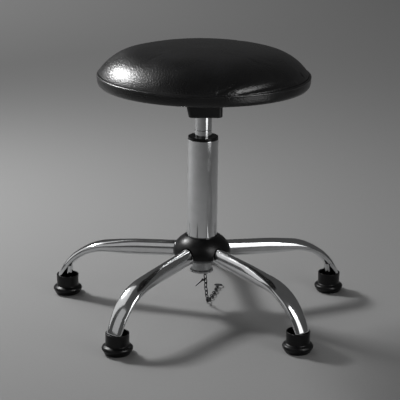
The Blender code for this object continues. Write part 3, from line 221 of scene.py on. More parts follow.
class StageSizes(bpy.types.PropertyGroup):
    floor: length("Floor", "Width of the studio floor", 120.0)
    lens: number("Lens", "Focal length on a 36 mm sensor", 122.57)
    distance: length("Distance", "From the column's axis to the camera, along the floor", 2.1525)
    height: length("Height", "Height of the camera", 0.8439)
    azimuth: angle("Azimuth", "The camera's place round the stool", -3.404)
    turn: angle("Turn", "How far the camera turns off the column", 0.106)
    pitch: angle("Pitch", "How far the camera looks down", 16.94)
    roll: angle("Roll", "The camera's tilt to one side", 0.7075)
    key: lamp_power("Key", "Power of the soft box at the back left", 21.0)
    bounce: lamp_power("Bounce", "Power of the panel behind the key", 4.4)
    fill: lamp_power("Fill", "Power of the soft box at the right front", 1.5)
    back: lamp_power("Back", "Power of the panel over the far floor", 66.0)
    sheen: lamp_power("Sheen", "Power of the panel over the fill", 2.6)
    wash: lamp_power("Wash", "Power of the wide panel at the left front", 3.6)
    ambient: number("Ambient", "Strength of the studio's stray light", 0.065)


# Finishes


def set_inputs(tree, node, inputs):
    """Links each input that is given a socket, and sets any other to its value."""
    for key, value in inputs.items():
        if isinstance(value, bpy.types.NodeSocket):
            tree.links.new(value, node.inputs[key])
        else:
            node.inputs[key].default_value = value


def add_node(tree, kind, inputs, **settings):
    """Adds a node with its settings and inputs."""
    node = tree.nodes.new(kind)
    for key, value in settings.items():
        setattr(node, key, value)
    set_inputs(tree, node, inputs)
    return node


def new_finish(name, colour_key, roughness, metallic=0.0):
    """A material with its shader set, its colour, and where each point of the object is, for patterns."""
    material = bpy.data.materials.new(name)
    material.use_nodes = True
    tree = material.node_tree
    shader = tree.nodes["Principled BSDF"]
    base = getattr(bpy.context.scene.stool_colours, colour_key)
    set_inputs(tree, shader, {"Base Color": (*base, 1.0), "Roughness": roughness, "Metallic": metallic})
    place = add_node(tree, "ShaderNodeTexCoord", {}).outputs["Object"]
    return material, tree, shader, base, place


def blotch(tree, place, grain, detail=2.0, low=0.0, high=1.0):
    """A soft random pattern of one grain size in metres, as a value from low to high."""
    spots = add_node(tree, "ShaderNodeTexNoise", {"Vector": place, "Scale": 1 / grain, "Detail": detail})
    wanted = {"Value": spots.outputs["Fac"], "From Min": 0.3, "From Max": 0.7, "To Min": low, "To Max": high}
    return add_node(tree, "ShaderNodeMapRange", wanted).outputs["Result"]


def tint(tree, factor, base, darkest, lightest):
    """The base colour, made darker and lighter by a factor from 0 to 1."""
    ramp = add_node(tree, "ShaderNodeValToRGB", {"Fac": factor})
    for element, strength in zip(ramp.color_ramp.elements, (darkest, lightest)):
        element.color = (*[min(1.0, c * strength) for c in base], 1.0)
    return ramp.outputs["Color"]


def coated_leather():
    """Split leather under a pigmented coat: rounded pebbles, pores, and a soft gloss that varies with use."""
    material, tree, shader, base, place = new_finish("Coated leather", "leather", 0.30)
    # Real pebbles are about 0.8 mm across. They are drawn at 2.2 mm to show at all.
    pebbled = {"Vector": place, "Scale": 1 / 0.0022, "Randomness": 0.9}
    pebbles = add_node(tree, "ShaderNodeTexVoronoi", pebbled, feature="SMOOTH_F1").outputs["Distance"]
    raised = {"Height": pebbles, "Strength": 0.8, "Distance": 0.0005}
    coarse = add_node(tree, "ShaderNodeBump", raised, invert=True).outputs["Normal"]
    pores = blotch(tree, place, 0.0006, 4.0)
    pored = {"Height": pores, "Strength": 0.10, "Distance": 0.0002, "Normal": coarse}
    fine = add_node(tree, "ShaderNodeBump", pored).outputs["Normal"]
    worn = blotch(tree, place, 0.045)
    polish = {"Value": worn, "To Min": 0.26, "To Max": 0.34}
    gloss = add_node(tree, "ShaderNodeMapRange", polish).outputs["Result"]
    shown = tint(tree, worn, base, 0.8, 1.35)
    set_inputs(tree, shader, {"Normal": fine, "Base Color": shown, "Roughness": gloss})
    set_inputs(tree, shader, {"Coat Weight": 0.12, "Coat Roughness": 0.22})
    return material


def bright_chrome():
    """Chrome plate over drawn steel tube: a mirror, a little wavy, with faint wiping marks."""
    material, tree, shader, base, place = new_finish("Chromed steel", "chrome", 0.1, 1.0)
    waves = blotch(tree, place, 0.012)
    waved = {"Height": waves, "Strength": 0.05, "Distance": 0.0004}
    normal = add_node(tree, "ShaderNodeBump", waved).outputs["Normal"]
    wiped = blotch(tree, place, 0.02, 5.0, 0.08, 0.15)
    shown = tint(tree, waves, base, 0.96, 1.03)
    set_inputs(tree, shader, {"Normal": normal, "Base Color": shown, "Roughness": wiped})
    return material


def zinc_plate():
    """Bright zinc on pressed steel: a dull cloudy metal with a fine spangle."""
    material, tree, shader, base, place = new_finish("Zinc plated steel", "zinc", 0.5, 1.0)
    clouds = blotch(tree, place, 0.004, 4.0)
    polish = {"Value": clouds, "To Min": 0.42, "To Max": 0.58}
    gloss = add_node(tree, "ShaderNodeMapRange", polish).outputs["Result"]
    set_inputs(tree, shader, {"Base Color": tint(tree, clouds, base, 0.78, 1.12), "Roughness": gloss})
    return material


def dull_steel():
    """Bare steel wire that has darkened with use: grey, with random patches of brighter steel."""
    material, tree, shader, base, place = new_finish("Darkened steel wire", "wire", 0.38, 1.0)
    rubbed = blotch(tree, place, 0.003, 3.0)
    set_inputs(tree, shader, {"Base Color": tint(tree, rubbed, base, 0.6, 1.7)})
    return material


def steel_dark_as_painted_shade():
    """Hot rolled tube, oiled: a dull dark grey with cloudy patches of scale. The grey is kept dark partly as
    painted shade, since the sleeve only shows through the gaps round the legs in the cover's slots, where the
    shade is deep.
    """
    material, tree, shader, base, place = new_finish("Hot rolled steel", "steel", 0.55, 1.0)
    scale = blotch(tree, place, 0.005, 4.0)
    set_inputs(tree, shader, {"Base Color": tint(tree, scale, base, 0.6, 1.2)})
    return material


def bearing_steel():
    """Ground bearing steel under a film of oil."""
    material, tree, shader, _, place = new_finish("Ground bearing steel", "bearing", 0.2, 1.0)
    set_inputs(tree, shader, {"Roughness": blotch(tree, place, 0.006, 3.0, 0.14, 0.26)})
    return material


def painted_steel():
    """Black stoved paint: satin, with the fine ripple of a sprayed coat."""
    material, tree, shader, base, place = new_finish("Black painted steel", "paint", 0.42)
    rippled = {"Height": blotch(tree, place, 0.0012), "Strength": 0.12, "Distance": 0.0002}
    normal = add_node(tree, "ShaderNodeBump", rippled).outputs["Normal"]
    dust = blotch(tree, place, 0.03, 4.0)
    set_inputs(tree, shader, {"Normal": normal, "Base Color": tint(tree, dust, base, 0.85, 1.3)})
    return material


def moulded_plastic():
    """Black polypropylene from a polished mould: half gloss, with faint flow marks and scuffs."""
    material, tree, shader, base, place = new_finish("Black moulded polypropylene", "plastic", 0.3)
    skinned = {"Height": blotch(tree, place, 0.0009, 3.0), "Strength": 0.06, "Distance": 0.0002}
    normal = add_node(tree, "ShaderNodeBump", skinned).outputs["Normal"]
    scuffs = blotch(tree, place, 0.014, 5.0)
    polish = {"Value": scuffs, "To Min": 0.28, "To Max": 0.4}
    gloss = add_node(tree, "ShaderNodeMapRange", polish).outputs["Result"]
    shown = tint(tree, scuffs, base, 0.85, 1.3)
    set_inputs(tree, shader, {"Normal": normal, "Base Color": shown, "Roughness": gloss})
    set_inputs(tree, shader, {"Specular IOR Level": 0.3})
    return material


def acetal():
    """Machined acetal: pale, waxy and even, with fine tool marks."""
    material, tree, shader, _, place = new_finish("Machined acetal", "acetal", 0.4)
    set_inputs(tree, shader, {"Roughness": blotch(tree, place, 0.001, 2.0, 0.34, 0.48)})
    return material


def soft_rubber():
    """Moulded rubber: dull, with a dusty bloom."""
    material, tree, shader, base, place = new_finish("Black rubber", "rubber", 0.75)
    bloom = blotch(tree, place, 0.005, 4.0)
    set_inputs(tree, shader, {"Base Color": tint(tree, bloom, base, 0.8, 1.6)})
    return material


def stained_plywood():
    """Birch plywood under black stain: long grain streaks that stay a little paler."""
    material, tree, shader, base, place = new_finish("Black stained plywood", "plywood", 0.6)
    # Grain lines are about 2 mm apart across the board and run some 60 mm along it.
    along = add_node(tree, "ShaderNodeMapping", {"Vector": place, "Scale": (0.03, 1.0, 1.0)})
    streaks = blotch(tree, along.outputs["Vector"], 0.002, 5.0)
    grained = {"Height": streaks, "Strength": 0.2, "Distance": 0.0002}
    normal = add_node(tree, "ShaderNodeBump", grained).outputs["Normal"]
    set_inputs(tree, shader, {"Normal": normal, "Base Color": tint(tree, streaks, base, 0.6, 1.5)})
    return material


def studio_floor():
    """Matt seamless paper: pale and even, with the faintest fibre."""
    material, tree, shader, base, place = new_finish("Studio paper", "floor", 0.9)
    fibre = blotch(tree, place, 0.004, 4.0)
    set_inputs(tree, shader, {"Base Color": tint(tree, fibre, base, 0.985, 1.015), "Specular IOR Level": 0.1})
    return material


MADE = {}


def finish(maker):
    """The material that a finish function makes, made on first use."""
    if maker not in MADE:
        MADE[maker] = maker()
    return MADE[maker]


# Workbench


def deselect():
    bpy.ops.object.select_all(action="DESELECT")


def keep_only(*pieces):
    """Selects these objects alone, the last of them active."""
    deselect()
    for piece in pieces:
        piece.select_set(True)
    bpy.context.view_layer.objects.active = pieces[-1]


def take(name):
    """The object that was just added, under its own name."""
    piece = bpy.context.active_object
    piece.name = piece.data.name = name
    return piece


def settled(name):
    """The object that was just added, under its own name and with its place in its mesh."""
    bpy.ops.object.transform_apply(location=True, rotation=True, scale=True)
    return take(name)


def discard(piece):
    bpy.data.objects.remove(piece, do_unlink=True)


def edit(mode="EDIT"):
    bpy.ops.object.mode_set(mode=mode)


def open_up(piece):
    """Goes into edit mode with all of a piece selected."""
    keep_only(piece)
    edit()
    bpy.ops.mesh.select_all(action="SELECT")


def shade(piece, smooth_angle=SMOOTH):
    """Shades a piece smooth, apart from the edges that are sharper than an angle."""
    keep_only(piece)
    bpy.ops.object.shade_smooth_by_angle(angle=smooth_angle)


def close_up(piece, smooth_angle=SMOOTH):
    """Merges doubled points, turns the faces outwards and shades round surfaces smooth."""
    open_up(piece)
    bpy.ops.mesh.remove_doubles(threshold=MERGE)
    bpy.ops.mesh.normals_make_consistent(inside=False)
    edit("OBJECT")
    shade(piece, smooth_angle)


def modify(piece, kind, **settings):
    """Adds a modifier with its settings and applies it."""
    keep_only(piece)
    modifier = piece.modifiers.new(kind.title(), kind)
    for key, value in settings.items():
        setattr(modifier, key, value)
    bpy.ops.object.modifier_apply(modifier=modifier.name)


def combine(piece, tool, operation="DIFFERENCE"):
    """Cuts a tool's shape from a piece, or adds it, and throws the tool away."""
    modify(piece, "BOOLEAN", operation=operation, solver="EXACT", object=tool)
    discard(tool)


def break_edges(piece, width, segments, sharpest=SMOOTH):
    """Rounds the edges that are sharper than an angle, and shades the piece smooth."""
    modify(piece, "BEVEL", width=width, segments=segments, limit_method="ANGLE", angle_limit=sharpest)
    shade(piece)


def hand_over(piece, body, maker, *nodes):
    """Gives a piece its finish and the body that it moves with, in place of the nodes that it stands for."""
    piece.data.materials.clear()
    piece.data.materials.append(finish(maker))
    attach(piece, body)
    if nodes:
        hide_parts(*nodes)


def refinish(maker, *nodes):
    """Gives nodes whose shape is kept a better material."""
    for name in nodes:
        NODES[name].data.materials.clear()
        NODES[name].data.materials.append(finish(maker))


def block(name, size, place=(0.0, 0.0, 0.0)):
    """A box to start from."""
    deselect()
    bpy.ops.mesh.primitive_cube_add(size=1.0, scale=size, location=place)
    return settled(name)


def bar(name, radius, across, low, high):
    """An upright round bar to start from, over a point of the X axis and from one height to another."""
    deselect()
    place = (across, 0.0, (low + high) / 2)
    bpy.ops.mesh.primitive_cylinder_add(vertices=32, radius=radius, depth=high - low, location=place)
    return settled(name)


def hoop(name, radius, wire, around, sides, height=0.0):
    """A flat ring of round wire to start from, with its faces around it and round its wire."""
    deselect()
    bpy.ops.mesh.primitive_torus_add(
        major_radius=radius,
        minor_radius=wire / 2,
        major_segments=around,
        minor_segments=sides,
        location=(0.0, 0.0, height),
    )
    return settled(name)


def steps_between(first, last, count):
    return [first + (last - first) * k / count for k in range(count + 1)]


def eased(profile, ease, count=3):
    """A profile with its inner corners rounded, each by a short curve that stays within its two sides.

    One more point on either side of a curve holds the side next to it straight when it is shaded smooth.
    """
    most_of_side = 0.4
    hold = 1.25
    points = [Vector(p) for p in profile]
    line = [points[0]]
    for before, corner, after in zip(points, points[1:], points[2:]):
        into = before - corner
        away = after - corner
        reach = min(ease, most_of_side * into.length, most_of_side * away.length)
        start = corner + into.normalized() * reach
        end = corner + away.normalized() * reach
        line.append(corner + into.normalized() * hold * reach)
        for t in steps_between(0.0, 1.0, count):
            line.append(start * (1 - t) ** 2 + corner * 2 * t * (1 - t) + end * t**2)
        line.append(corner + away.normalized() * hold * reach)
    return line + [points[-1]]


def spun(name, profile, steps):
    """A turned piece: a point is extruded down a profile of radius and height, then spun round the column."""
    places = [Vector((p[0], 0.0, p[1])) for p in profile]
    deselect()
    bpy.ops.mesh.primitive_plane_add(size=places[0].length)
    piece = take(name)
    open_up(piece)
    bpy.ops.mesh.merge(type="CENTER")
    bpy.ops.transform.translate(value=places[0])
    for here, there in zip(places, places[1:]):
        bpy.ops.mesh.extrude_region_move(TRANSFORM_OT_translate={"value": there - here})
    bpy.ops.mesh.select_all(action="SELECT")
    bpy.ops.mesh.spin(steps=steps, angle=math.tau, center=(0.0, 0.0, 0.0), axis=UP)
    edit("OBJECT")
    close_up(piece)
    return piece


def copied(piece, name, matrix):
    """A copy of a piece with its own mesh, put in its place by a matrix."""
    twin = bpy.data.objects.new(name, piece.data.copy())
    twin.data.name = name
    twin.data.transform(matrix)
    bpy.context.scene.collection.objects.link(twin)
    return twin


def softened(node, width):
    """A copy of a node with its facets joined to whole faces and its edges broken, as on a pressed piece."""
    piece = copied(NODES[node], "worked_" + node, Matrix.Identity(4))
    open_up(piece)
    bpy.ops.mesh.remove_doubles(threshold=MERGE)
    bpy.ops.mesh.dissolve_limited(angle_limit=math.radians(1.0))
    edit("OBJECT")
    break_edges(piece, width, 2)
    modify(piece, "WEIGHTED_NORMAL", keep_sharp=True)
    return piece


def rework(node, width, body, maker):
    """Puts a softened copy of a node in its place."""
    hand_over(softened(node, width), body, maker, node)


def smooth_step(low, high, value):
    t = min(1.0, max(0.0, (value - low) / (high - low)))
    return t * t * (3 - 2 * t)


def node_place(node):
    """A matrix at the middle of a node, with x along its longest direction and z along its thinnest."""
    points = numpy.array([v.co for v in NODES[node].data.vertices])
    middle = points.mean(axis=0)
    axes = numpy.linalg.eigh(numpy.cov((points - middle).T))[1]
    longest, across = Vector(axes[:, 2]), Vector(axes[:, 1])
    turn = Matrix((longest, across, longest.cross(across))).transposed()
    return Matrix.Translation(Vector(middle)) @ turn.to_4x4()


def move_ring(piece, before, after):
    """Moves the selected ring of points from one outline to another."""
    shape = bmesh.from_edit_mesh(piece.data)
    for vertex in shape.verts:
        if vertex.select:
            nearest = min(range(len(before)), key=lambda k: (vertex.co - before[k]).length_squared)
            vertex.co = after[nearest]
    bmesh.update_edit_mesh(piece.data)


def lofted(name, rings, smooth_angle=SMOOTH):
    """A closed skin: a circle set to the first outline and extruded to each next, with its ends filled."""
    deselect()
    bpy.ops.mesh.primitive_circle_add(vertices=len(rings[0]), radius=(rings[0][0] - rings[0][1]).length)
    piece = take(name)
    circle = [v.co.copy() for v in piece.data.vertices]
    open_up(piece)
    move_ring(piece, circle, rings[0])
    for before, after in zip(rings, rings[1:]):
        bpy.ops.mesh.extrude_region_move()
        move_ring(piece, before, after)
    bpy.ops.mesh.select_all(action="SELECT")
    bpy.ops.mesh.fill_holes(sides=0)
    edit("OBJECT")
    close_up(piece, smooth_angle)
    return piece


def joined(name, *pieces):
    """Several objects as one mesh."""
    keep_only(*pieces)
    bpy.ops.object.join()
    return take(name)


def patterned(name, piece, places):
    """One object with a copy of a piece at each place. The piece itself is thrown away."""
    copies = [copied(piece, f"{piece.name}_{k}", place) for k, place in enumerate(places)]
    discard(piece)
    return joined(name, *copies)


def leg_turn(index):
    return Matrix.Rotation(math.pi / 2 + math.tau * index / LEG_COUNT, 4, "Z")


def set_round(piece, name, node, maker, place):
    """Copies a piece that is made on the X axis to each leg, in place of the node there."""
    for k in range(LEG_COUNT):
        twin = copied(piece, f"{name}_{k + 1}", leg_turn(k) @ place)
        hand_over(twin, "base", maker, f"{node}_{k + 1}")
    discard(piece)


def wander(bearing, waves, layer):
    """A smooth random value that meets itself after one turn round the seat."""
    return noise.noise(Vector((math.cos(bearing) * waves, math.sin(bearing) * waves, layer)))


# Seat


def crown_height(sizes, radius):
    share = min(1.0, (radius / sizes.crown_radius) ** sizes.crown_fullness)
    return sizes.crown_base + sizes.crown_rise * (1 - share) ** (1 / sizes.crown_edge)


def laid_cover(sizes):
    """The top panel before it is filled: a grid drawn round into a disc, a little under the filled crown."""
    deselect()
    cells = sizes.crown_cells
    bpy.ops.mesh.primitive_grid_add(x_subdivisions=cells, y_subdivisions=cells, size=2.0)
    cover = take("seat_cover")
    for vertex in cover.data.vertices:
        u, v = vertex.co.x, vertex.co.y
        across = Vector((u * math.sqrt(1 - v * v / 2), v * math.sqrt(1 - u * u / 2), 0.0))
        share = min(1.0, across.length)
        radius = sizes.crown_rim * (share + math.sin(share * math.pi / 2)) / 2
        spot = across.normalized() * radius
        slack = sizes.slack * (1 - smooth_step(0.0, sizes.slack_radius, radius))
        spot.z = crown_height(sizes, radius) - slack
        vertex.co = spot
    return cover


def fill_cover(cover, sizes):
    """Lets the filling press the sewn panel up: cloth under pressure, held along its seam."""
    last_frame = 20
    held_radius = sizes.crown_rim * 0.985
    seam = cover.vertex_groups.new(name="seam")
    held = [v.index for v in cover.data.vertices if v.co.xy.length > held_radius]
    seam.add(held, 1.0, "REPLACE")
    start = [v.co.copy() for v in cover.data.vertices]
    cloth = cover.modifiers.new("Filling", "CLOTH")
    cloth.settings.quality = 5
    cloth.settings.vertex_group_mass = "seam"
    cloth.settings.effector_weights.gravity = 0.0
    cloth.settings.use_pressure = True
    cloth.settings.uniform_pressure_force = 4.0
    scene = bpy.context.scene
    for step in range(1, last_frame + 1):
        scene.frame_set(step)
    filled = cover.evaluated_get(bpy.context.evaluated_depsgraph_get())
    ends = [v.co.copy() for v in filled.data.vertices]
    cover.modifiers.remove(cloth)
    scene.frame_set(1)
    for vertex, before, after in zip(cover.data.vertices, start, ends):
        lift = after - before
        if lift.length > sizes.swell_cap:
            lift *= sizes.swell_cap / lift.length
        vertex.co = before + lift
    cover.vertex_groups.clear()


def near_route(point, route):
    """The distance from a point to a line of points, all of them flat."""
    best = math.inf
    for start, end in zip(route, route[1:]):
        along = end - start
        share = min(1.0, max(0.0, (point - start).dot(along) / along.length_squared))
        best = min(best, (point - start - along * share).length)
    return best


# Creases and rolls in the slack leather at the right front. A route is given in degrees round the seat and
# in millimetres above the seam. Then come its height in millimetres, down if below zero, and its half width.
FOLDS = (
    (((-86, 4.5), (-80, 10.0), (-74, 17.0)), -0.5, 2.2),
    (((-75, 2.6), (-61, 7.0), (-47, 9.3), (-22, 10.0)), -1.2, 3.6),
    (((-76, 0.8), (-62, 2.2), (-48, 4.0), (-34, 4.6)), 0.8, 3.4),
    (((-80, 9.0), (-68, 12.0), (-52, 16.0)), 0.9, 8.0),
    (((-44, 15.0), (-24, 16.5)), 0.5, 7.0),
)
MILLIMETRE = 0.001

# How far the folds reach: bearings round the seat in radians, and height above the seam
FOLD_BEARINGS = (-1.75, -0.15)
FOLD_RISE = 0.035

# Over the seam: the strip that it holds down, the height that its puckers die away in, and the height where
# the filling's lumps are full, with how deep these are and how many there are to a metre
SEAM_HOLD = 0.0015
PUCKER_RISE = 0.006
LUMP_RISE = 0.02
LUMP = 0.0004
LUMPS_A_METRE = 14.0

# A fuller side of the filling: its spread round the seat in radians, and the radii between which it grows
LEAN_SPREAD = 0.75
LEAN_RADII = (0.075, 0.13)


def flat_folds(sizes):
    """The folds in metres, on the cover's edge laid flat: along the seam and up from it."""
    folds = []
    for route, height, width in FOLDS:
        spots = [Vector((math.radians(turn) * sizes.crown_rim, rise * MILLIMETRE)) for turn, rise in route]
        folds.append((spots, height * MILLIMETRE, width * MILLIMETRE))
    return folds


def press_folds(cover, sizes):
    """Works the folds, the small puckers along the seam and the uneven filling into the filled cover."""
    folds = flat_folds(sizes)
    normals = [v.normal.copy() for v in cover.data.vertices]
    for vertex, normal in zip(cover.data.vertices, normals):
        bearing = math.atan2(vertex.co.y, vertex.co.x)
        rise = vertex.co.z - sizes.seam_height
        spot = Vector((bearing * sizes.crown_rim, rise))
        amount = 0.0
        if FOLD_BEARINGS[0] < bearing < FOLD_BEARINGS[1] and rise < FOLD_RISE:
            for route, height, width in folds:
                amount += height * math.exp(-((near_route(spot, route) / width) ** 2))
        uneven = wander(bearing, 6, 0.0)
        pucker = math.sin(bearing * sizes.puckers + 4.0 * uneven)
        amount += sizes.pucker_depth * pucker * (0.5 + uneven) * math.exp(-rise / PUCKER_RISE)
        amount += LUMP * noise.noise(vertex.co * LUMPS_A_METRE) * smooth_step(0.0, LUMP_RISE, rise)
        outer = smooth_step(*LEAN_RADII, vertex.co.xy.length)
        for side, lean in ((math.pi, sizes.lean), (0.0, sizes.right_lean)):
            away = math.remainder(bearing - side, math.tau)
            amount += lean * math.exp(-((away / LEAN_SPREAD) ** 2)) * outer
        vertex.co += normal * amount * smooth_step(0.0, SEAM_HOLD, rise)


def close_cover(cover, sizes):
    """Turns the panel's edge in under the piping and closes it over the board."""
    above_board = 0.0005
    drop = sizes.board_top + above_board - crown_height(sizes, sizes.crown_rim)
    keep_only(cover)
    edit()
    bpy.ops.mesh.select_all(action="DESELECT")
    bpy.ops.mesh.select_non_manifold()
    bpy.ops.mesh.extrude_region_move(TRANSFORM_OT_translate={"value": (0.0, 0.0, drop)})
    bpy.ops.mesh.edge_face_add()
    edit("OBJECT")
    close_up(cover, ROUND_SMOOTH)


def band_profile(sizes):
    """The side band under the piping: swollen in its middle and drawn in under the board."""
    board_room = 0.0008
    below_seam = 0.0012
    inner = sizes.board_radius + board_room
    top = sizes.seam_height - below_seam
    bottom = sizes.seat_bottom - sizes.leather
    outside = []
    for share in steps_between(0.0, 1.0, 12):
        draw = 0.08 * (1 - share) ** 4 + 0.3 * share + 0.7 * share**6
        outside.append((sizes.band_radius - sizes.band_draw * draw, top + (bottom - top) * share))
    return [(inner, top)] + outside + [(inner, bottom), (inner, top)]


def hem_profile(sizes):
    """The leather's margin, turned flat under the board."""
    level = sizes.seat_bottom - GAP
    thin = sizes.leather
    inset = 0.0009
    outer_round = 0.0015
    inner_round = 0.001
    outer = sizes.band_radius - sizes.band_draw - inset
    return [
        (sizes.hem_radius, level),
        (outer, level),
        (outer, level - thin * 0.5),
        (outer - outer_round, level - thin),
        (sizes.hem_radius + inner_round, level - thin),
        (sizes.hem_radius, level - thin * 0.5),
        (sizes.hem_radius, level),
    ]


def pleat(hem, sizes):
    """Gathers the hem's inner edge in pleats, and lets it end unevenly, as shears leave it."""
    ragged = 0.004
    upper_face = sizes.seat_bottom - 0.0004
    outer = sizes.band_radius - sizes.band_draw
    for vertex in hem.data.vertices:
        bearing = math.atan2(vertex.co.y, vertex.co.x)
        inward = smooth_step(outer, sizes.hem_radius, vertex.co.xy.length)
        uneven = wander(bearing, 5, 3.0)
        fold = max(0.0, math.cos(bearing * sizes.pleats + 5 * uneven)) ** 6
        if vertex.co.z < upper_face:
            vertex.co.z -= sizes.pleat_depth * fold * inward
        vertex.co.xy += vertex.co.xy.normalized() * (ragged * uneven * inward)


class STOOL_OT_add_cushion(bpy.types.Operator):
    """Adds the filled leather seat: crowned top panel, side band and turned hem"""

    bl_idname = "stool.add_cushion"
    bl_label = "Seat cushion"

    def execute(self, context):
        sizes = context.scene.stool_seat
        cover = laid_cover(sizes)
        fill_cover(cover, sizes)
        modify(cover, "SUBSURF", levels=1, render_levels=1)
        press_folds(cover, sizes)
        close_cover(cover, sizes)
        hem = spun("seat_hem", hem_profile(sizes), 6 * sizes.pleats)
        pleat(hem, sizes)
        band = spun("seat_band", band_profile(sizes), 128)
        cushion = joined("seat_cushion_cover", hem, band, cover)
        hand_over(cushion, "seat", coated_leather, "seat_cushion")
        return {"FINISHED"}


class STOOL_OT_add_piping(bpy.types.Operator):
    """Adds the piped seam round the seat: leather wrapped on a cord, with a lap where its ends meet"""

    bl_idname = "stool.add_piping"
    bl_label = "Seat piping"

    def execute(self, context):
        sizes = context.scene.stool_seat
        waver = 0.0004
        lap_swell = 0.0004
        lap_spread = 0.03
        radius = sizes.band_radius - sizes.piping
        piping = hoop("seat_piping_cord", radius, 2 * sizes.piping, 288, 14, sizes.seam_height)
        normals = [v.normal.copy() for v in piping.data.vertices]
        for vertex, normal in zip(piping.data.vertices, normals):
            bearing = math.atan2(vertex.co.y, vertex.co.x)
            vertex.co.z += waver * wander(bearing, 9, 7.0)
            lap = math.exp(-(((bearing - math.pi / 2) / lap_spread) ** 2))
            vertex.co += normal * lap_swell * lap
        close_up(piping)
        hand_over(piping, "seat", coated_leather, "seat_piping")
        return {"FINISHED"}


class STOOL_OT_add_seat_fittings(bpy.types.Operator):
    """Adds the staples under the seat, and breaks the edges of the seat plate and its bolts"""

    bl_idname = "stool.add_seat_fittings"
    bl_label = "Seat plate, bolts and staples"

    def execute(self, context):
        sizes = context.scene.stool_seat
        thick, long, deep = 0.0008, 0.010, 0.0006
        proud = 0.0002
        from_edge = 0.007
        out_of_line = 0.0012
        most_tilt = 0.35
        staple = block("staple", (thick, long, deep))
        modify(staple, "BEVEL", width=0.0002, segments=1)
        level = sizes.seat_bottom - GAP - sizes.leather - proud
        radius = sizes.hem_radius + from_edge
        places = []
        for k in range(sizes.staples):
            uneven = out_of_line * noise.noise(Vector((k * 1.7, 0.3, 0.0)))
            tilt = most_tilt * noise.noise(Vector((k * 2.3, 5.1, 0.0)))
            turn = Matrix.Rotation(math.tau * (k + 0.5) / sizes.staples, 4, "Z")
            place = turn @ Matrix.Translation((radius + uneven, 0.0, level))
            places.append(place @ Matrix.Rotation(tilt, 4, "Z"))
        hand_over(patterned("seat_staples", staple, places), "seat", zinc_plate)
        rework("seat_plate", 0.0006, "seat", painted_steel)
        for k in range(1, 5):
            rework(f"seat_bolt_{k}", 0.0006, "seat", zinc_plate)
        refinish(stained_plywood, "seat_board")
        return {"FINISHED"}


class STOOL_OT_add_mechanism(bpy.types.Operator):
    """Adds the pressed housing under the seat, its lever, grip and pin"""

    bl_idname = "stool.add_mechanism"
    bl_label = "Lift mechanism"

    def execute(self, context):
        rework("mechanism_housing", 0.0005, "seat", painted_steel)
        rework("release_lever", 0.0006, "lever", zinc_plate)
        rework("lever_grip", 0.0006, "lever", moulded_plastic)
        rework("lever_pin", 0.0004, "seat", zinc_plate)
        refinish(zinc_plate, "taper_socket", "release_button")
        return {"FINISHED"}


class STOOL_OT_add_column(bpy.types.Operator):
    """Adds the column tube, its guide bush and the gas spring's body"""

    bl_idname = "stool.add_column"
    bl_label = "Column and gas spring"

    def execute(self, context):
        s = context.scene.stool_column
        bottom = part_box("column_tube")[0].z
        bore = s.column - s.column_wall
        tube = [
            (bore, s.column_top),
            (s.column, s.column_top),
            (s.column, bottom),
            (bore, bottom),
            (bore, s.column_top),
        ]
        column = spun("column_turned", eased(tube, 0.0006), TURNED_STEPS)
        hand_over(column, "base", bright_chrome, "column_tube")

        low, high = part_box("guide_bush")
        seat = s.column_top + s.gap
        slide = s.spring + s.slide_gap
        bush = [
            (slide, high.z),
            (s.bush, high.z),
            (s.bush, seat),
            (bore - s.gap, seat),
            (bore - s.gap, low.z),
            (slide, low.z),
            (slide, high.z),
        ]
        bush = spun("guide_bush_turned", eased(bush, 0.0012, 4), TURNED_STEPS)
        hand_over(bush, "base", moulded_plastic, "guide_bush")

        low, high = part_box("lift_cylinder")
        mark = s.mark_height
        half = s.mark_width / 2
        spring_bore = s.spring - s.column_wall
        head = high.z - s.spring_head
        hole = s.button + s.slide_gap
        foot_chamfer = 0.001
        spring = [
            (hole, high.z),
            (s.taper_tip, high.z),
            (s.spring, high.z - s.taper),
            (s.spring, mark + half + s.mark_depth),
            (s.spring - s.mark_depth, mark + half),
            (s.spring - s.mark_depth, mark - half),
            (s.spring, mark - half - s.mark_depth),
            (s.spring, low.z + foot_chamfer),
            (s.spring - foot_chamfer, low.z),
            (spring_bore, low.z),
            (spring_bore, head),
            (hole, head),
            (hole, high.z),
        ]
        spring = spun("gas_spring_turned", eased(spring, 0.0003, 2), TURNED_STEPS)
        hand_over(spring, "seat", bright_chrome, "lift_cylinder")
        return {"FINISHED"}


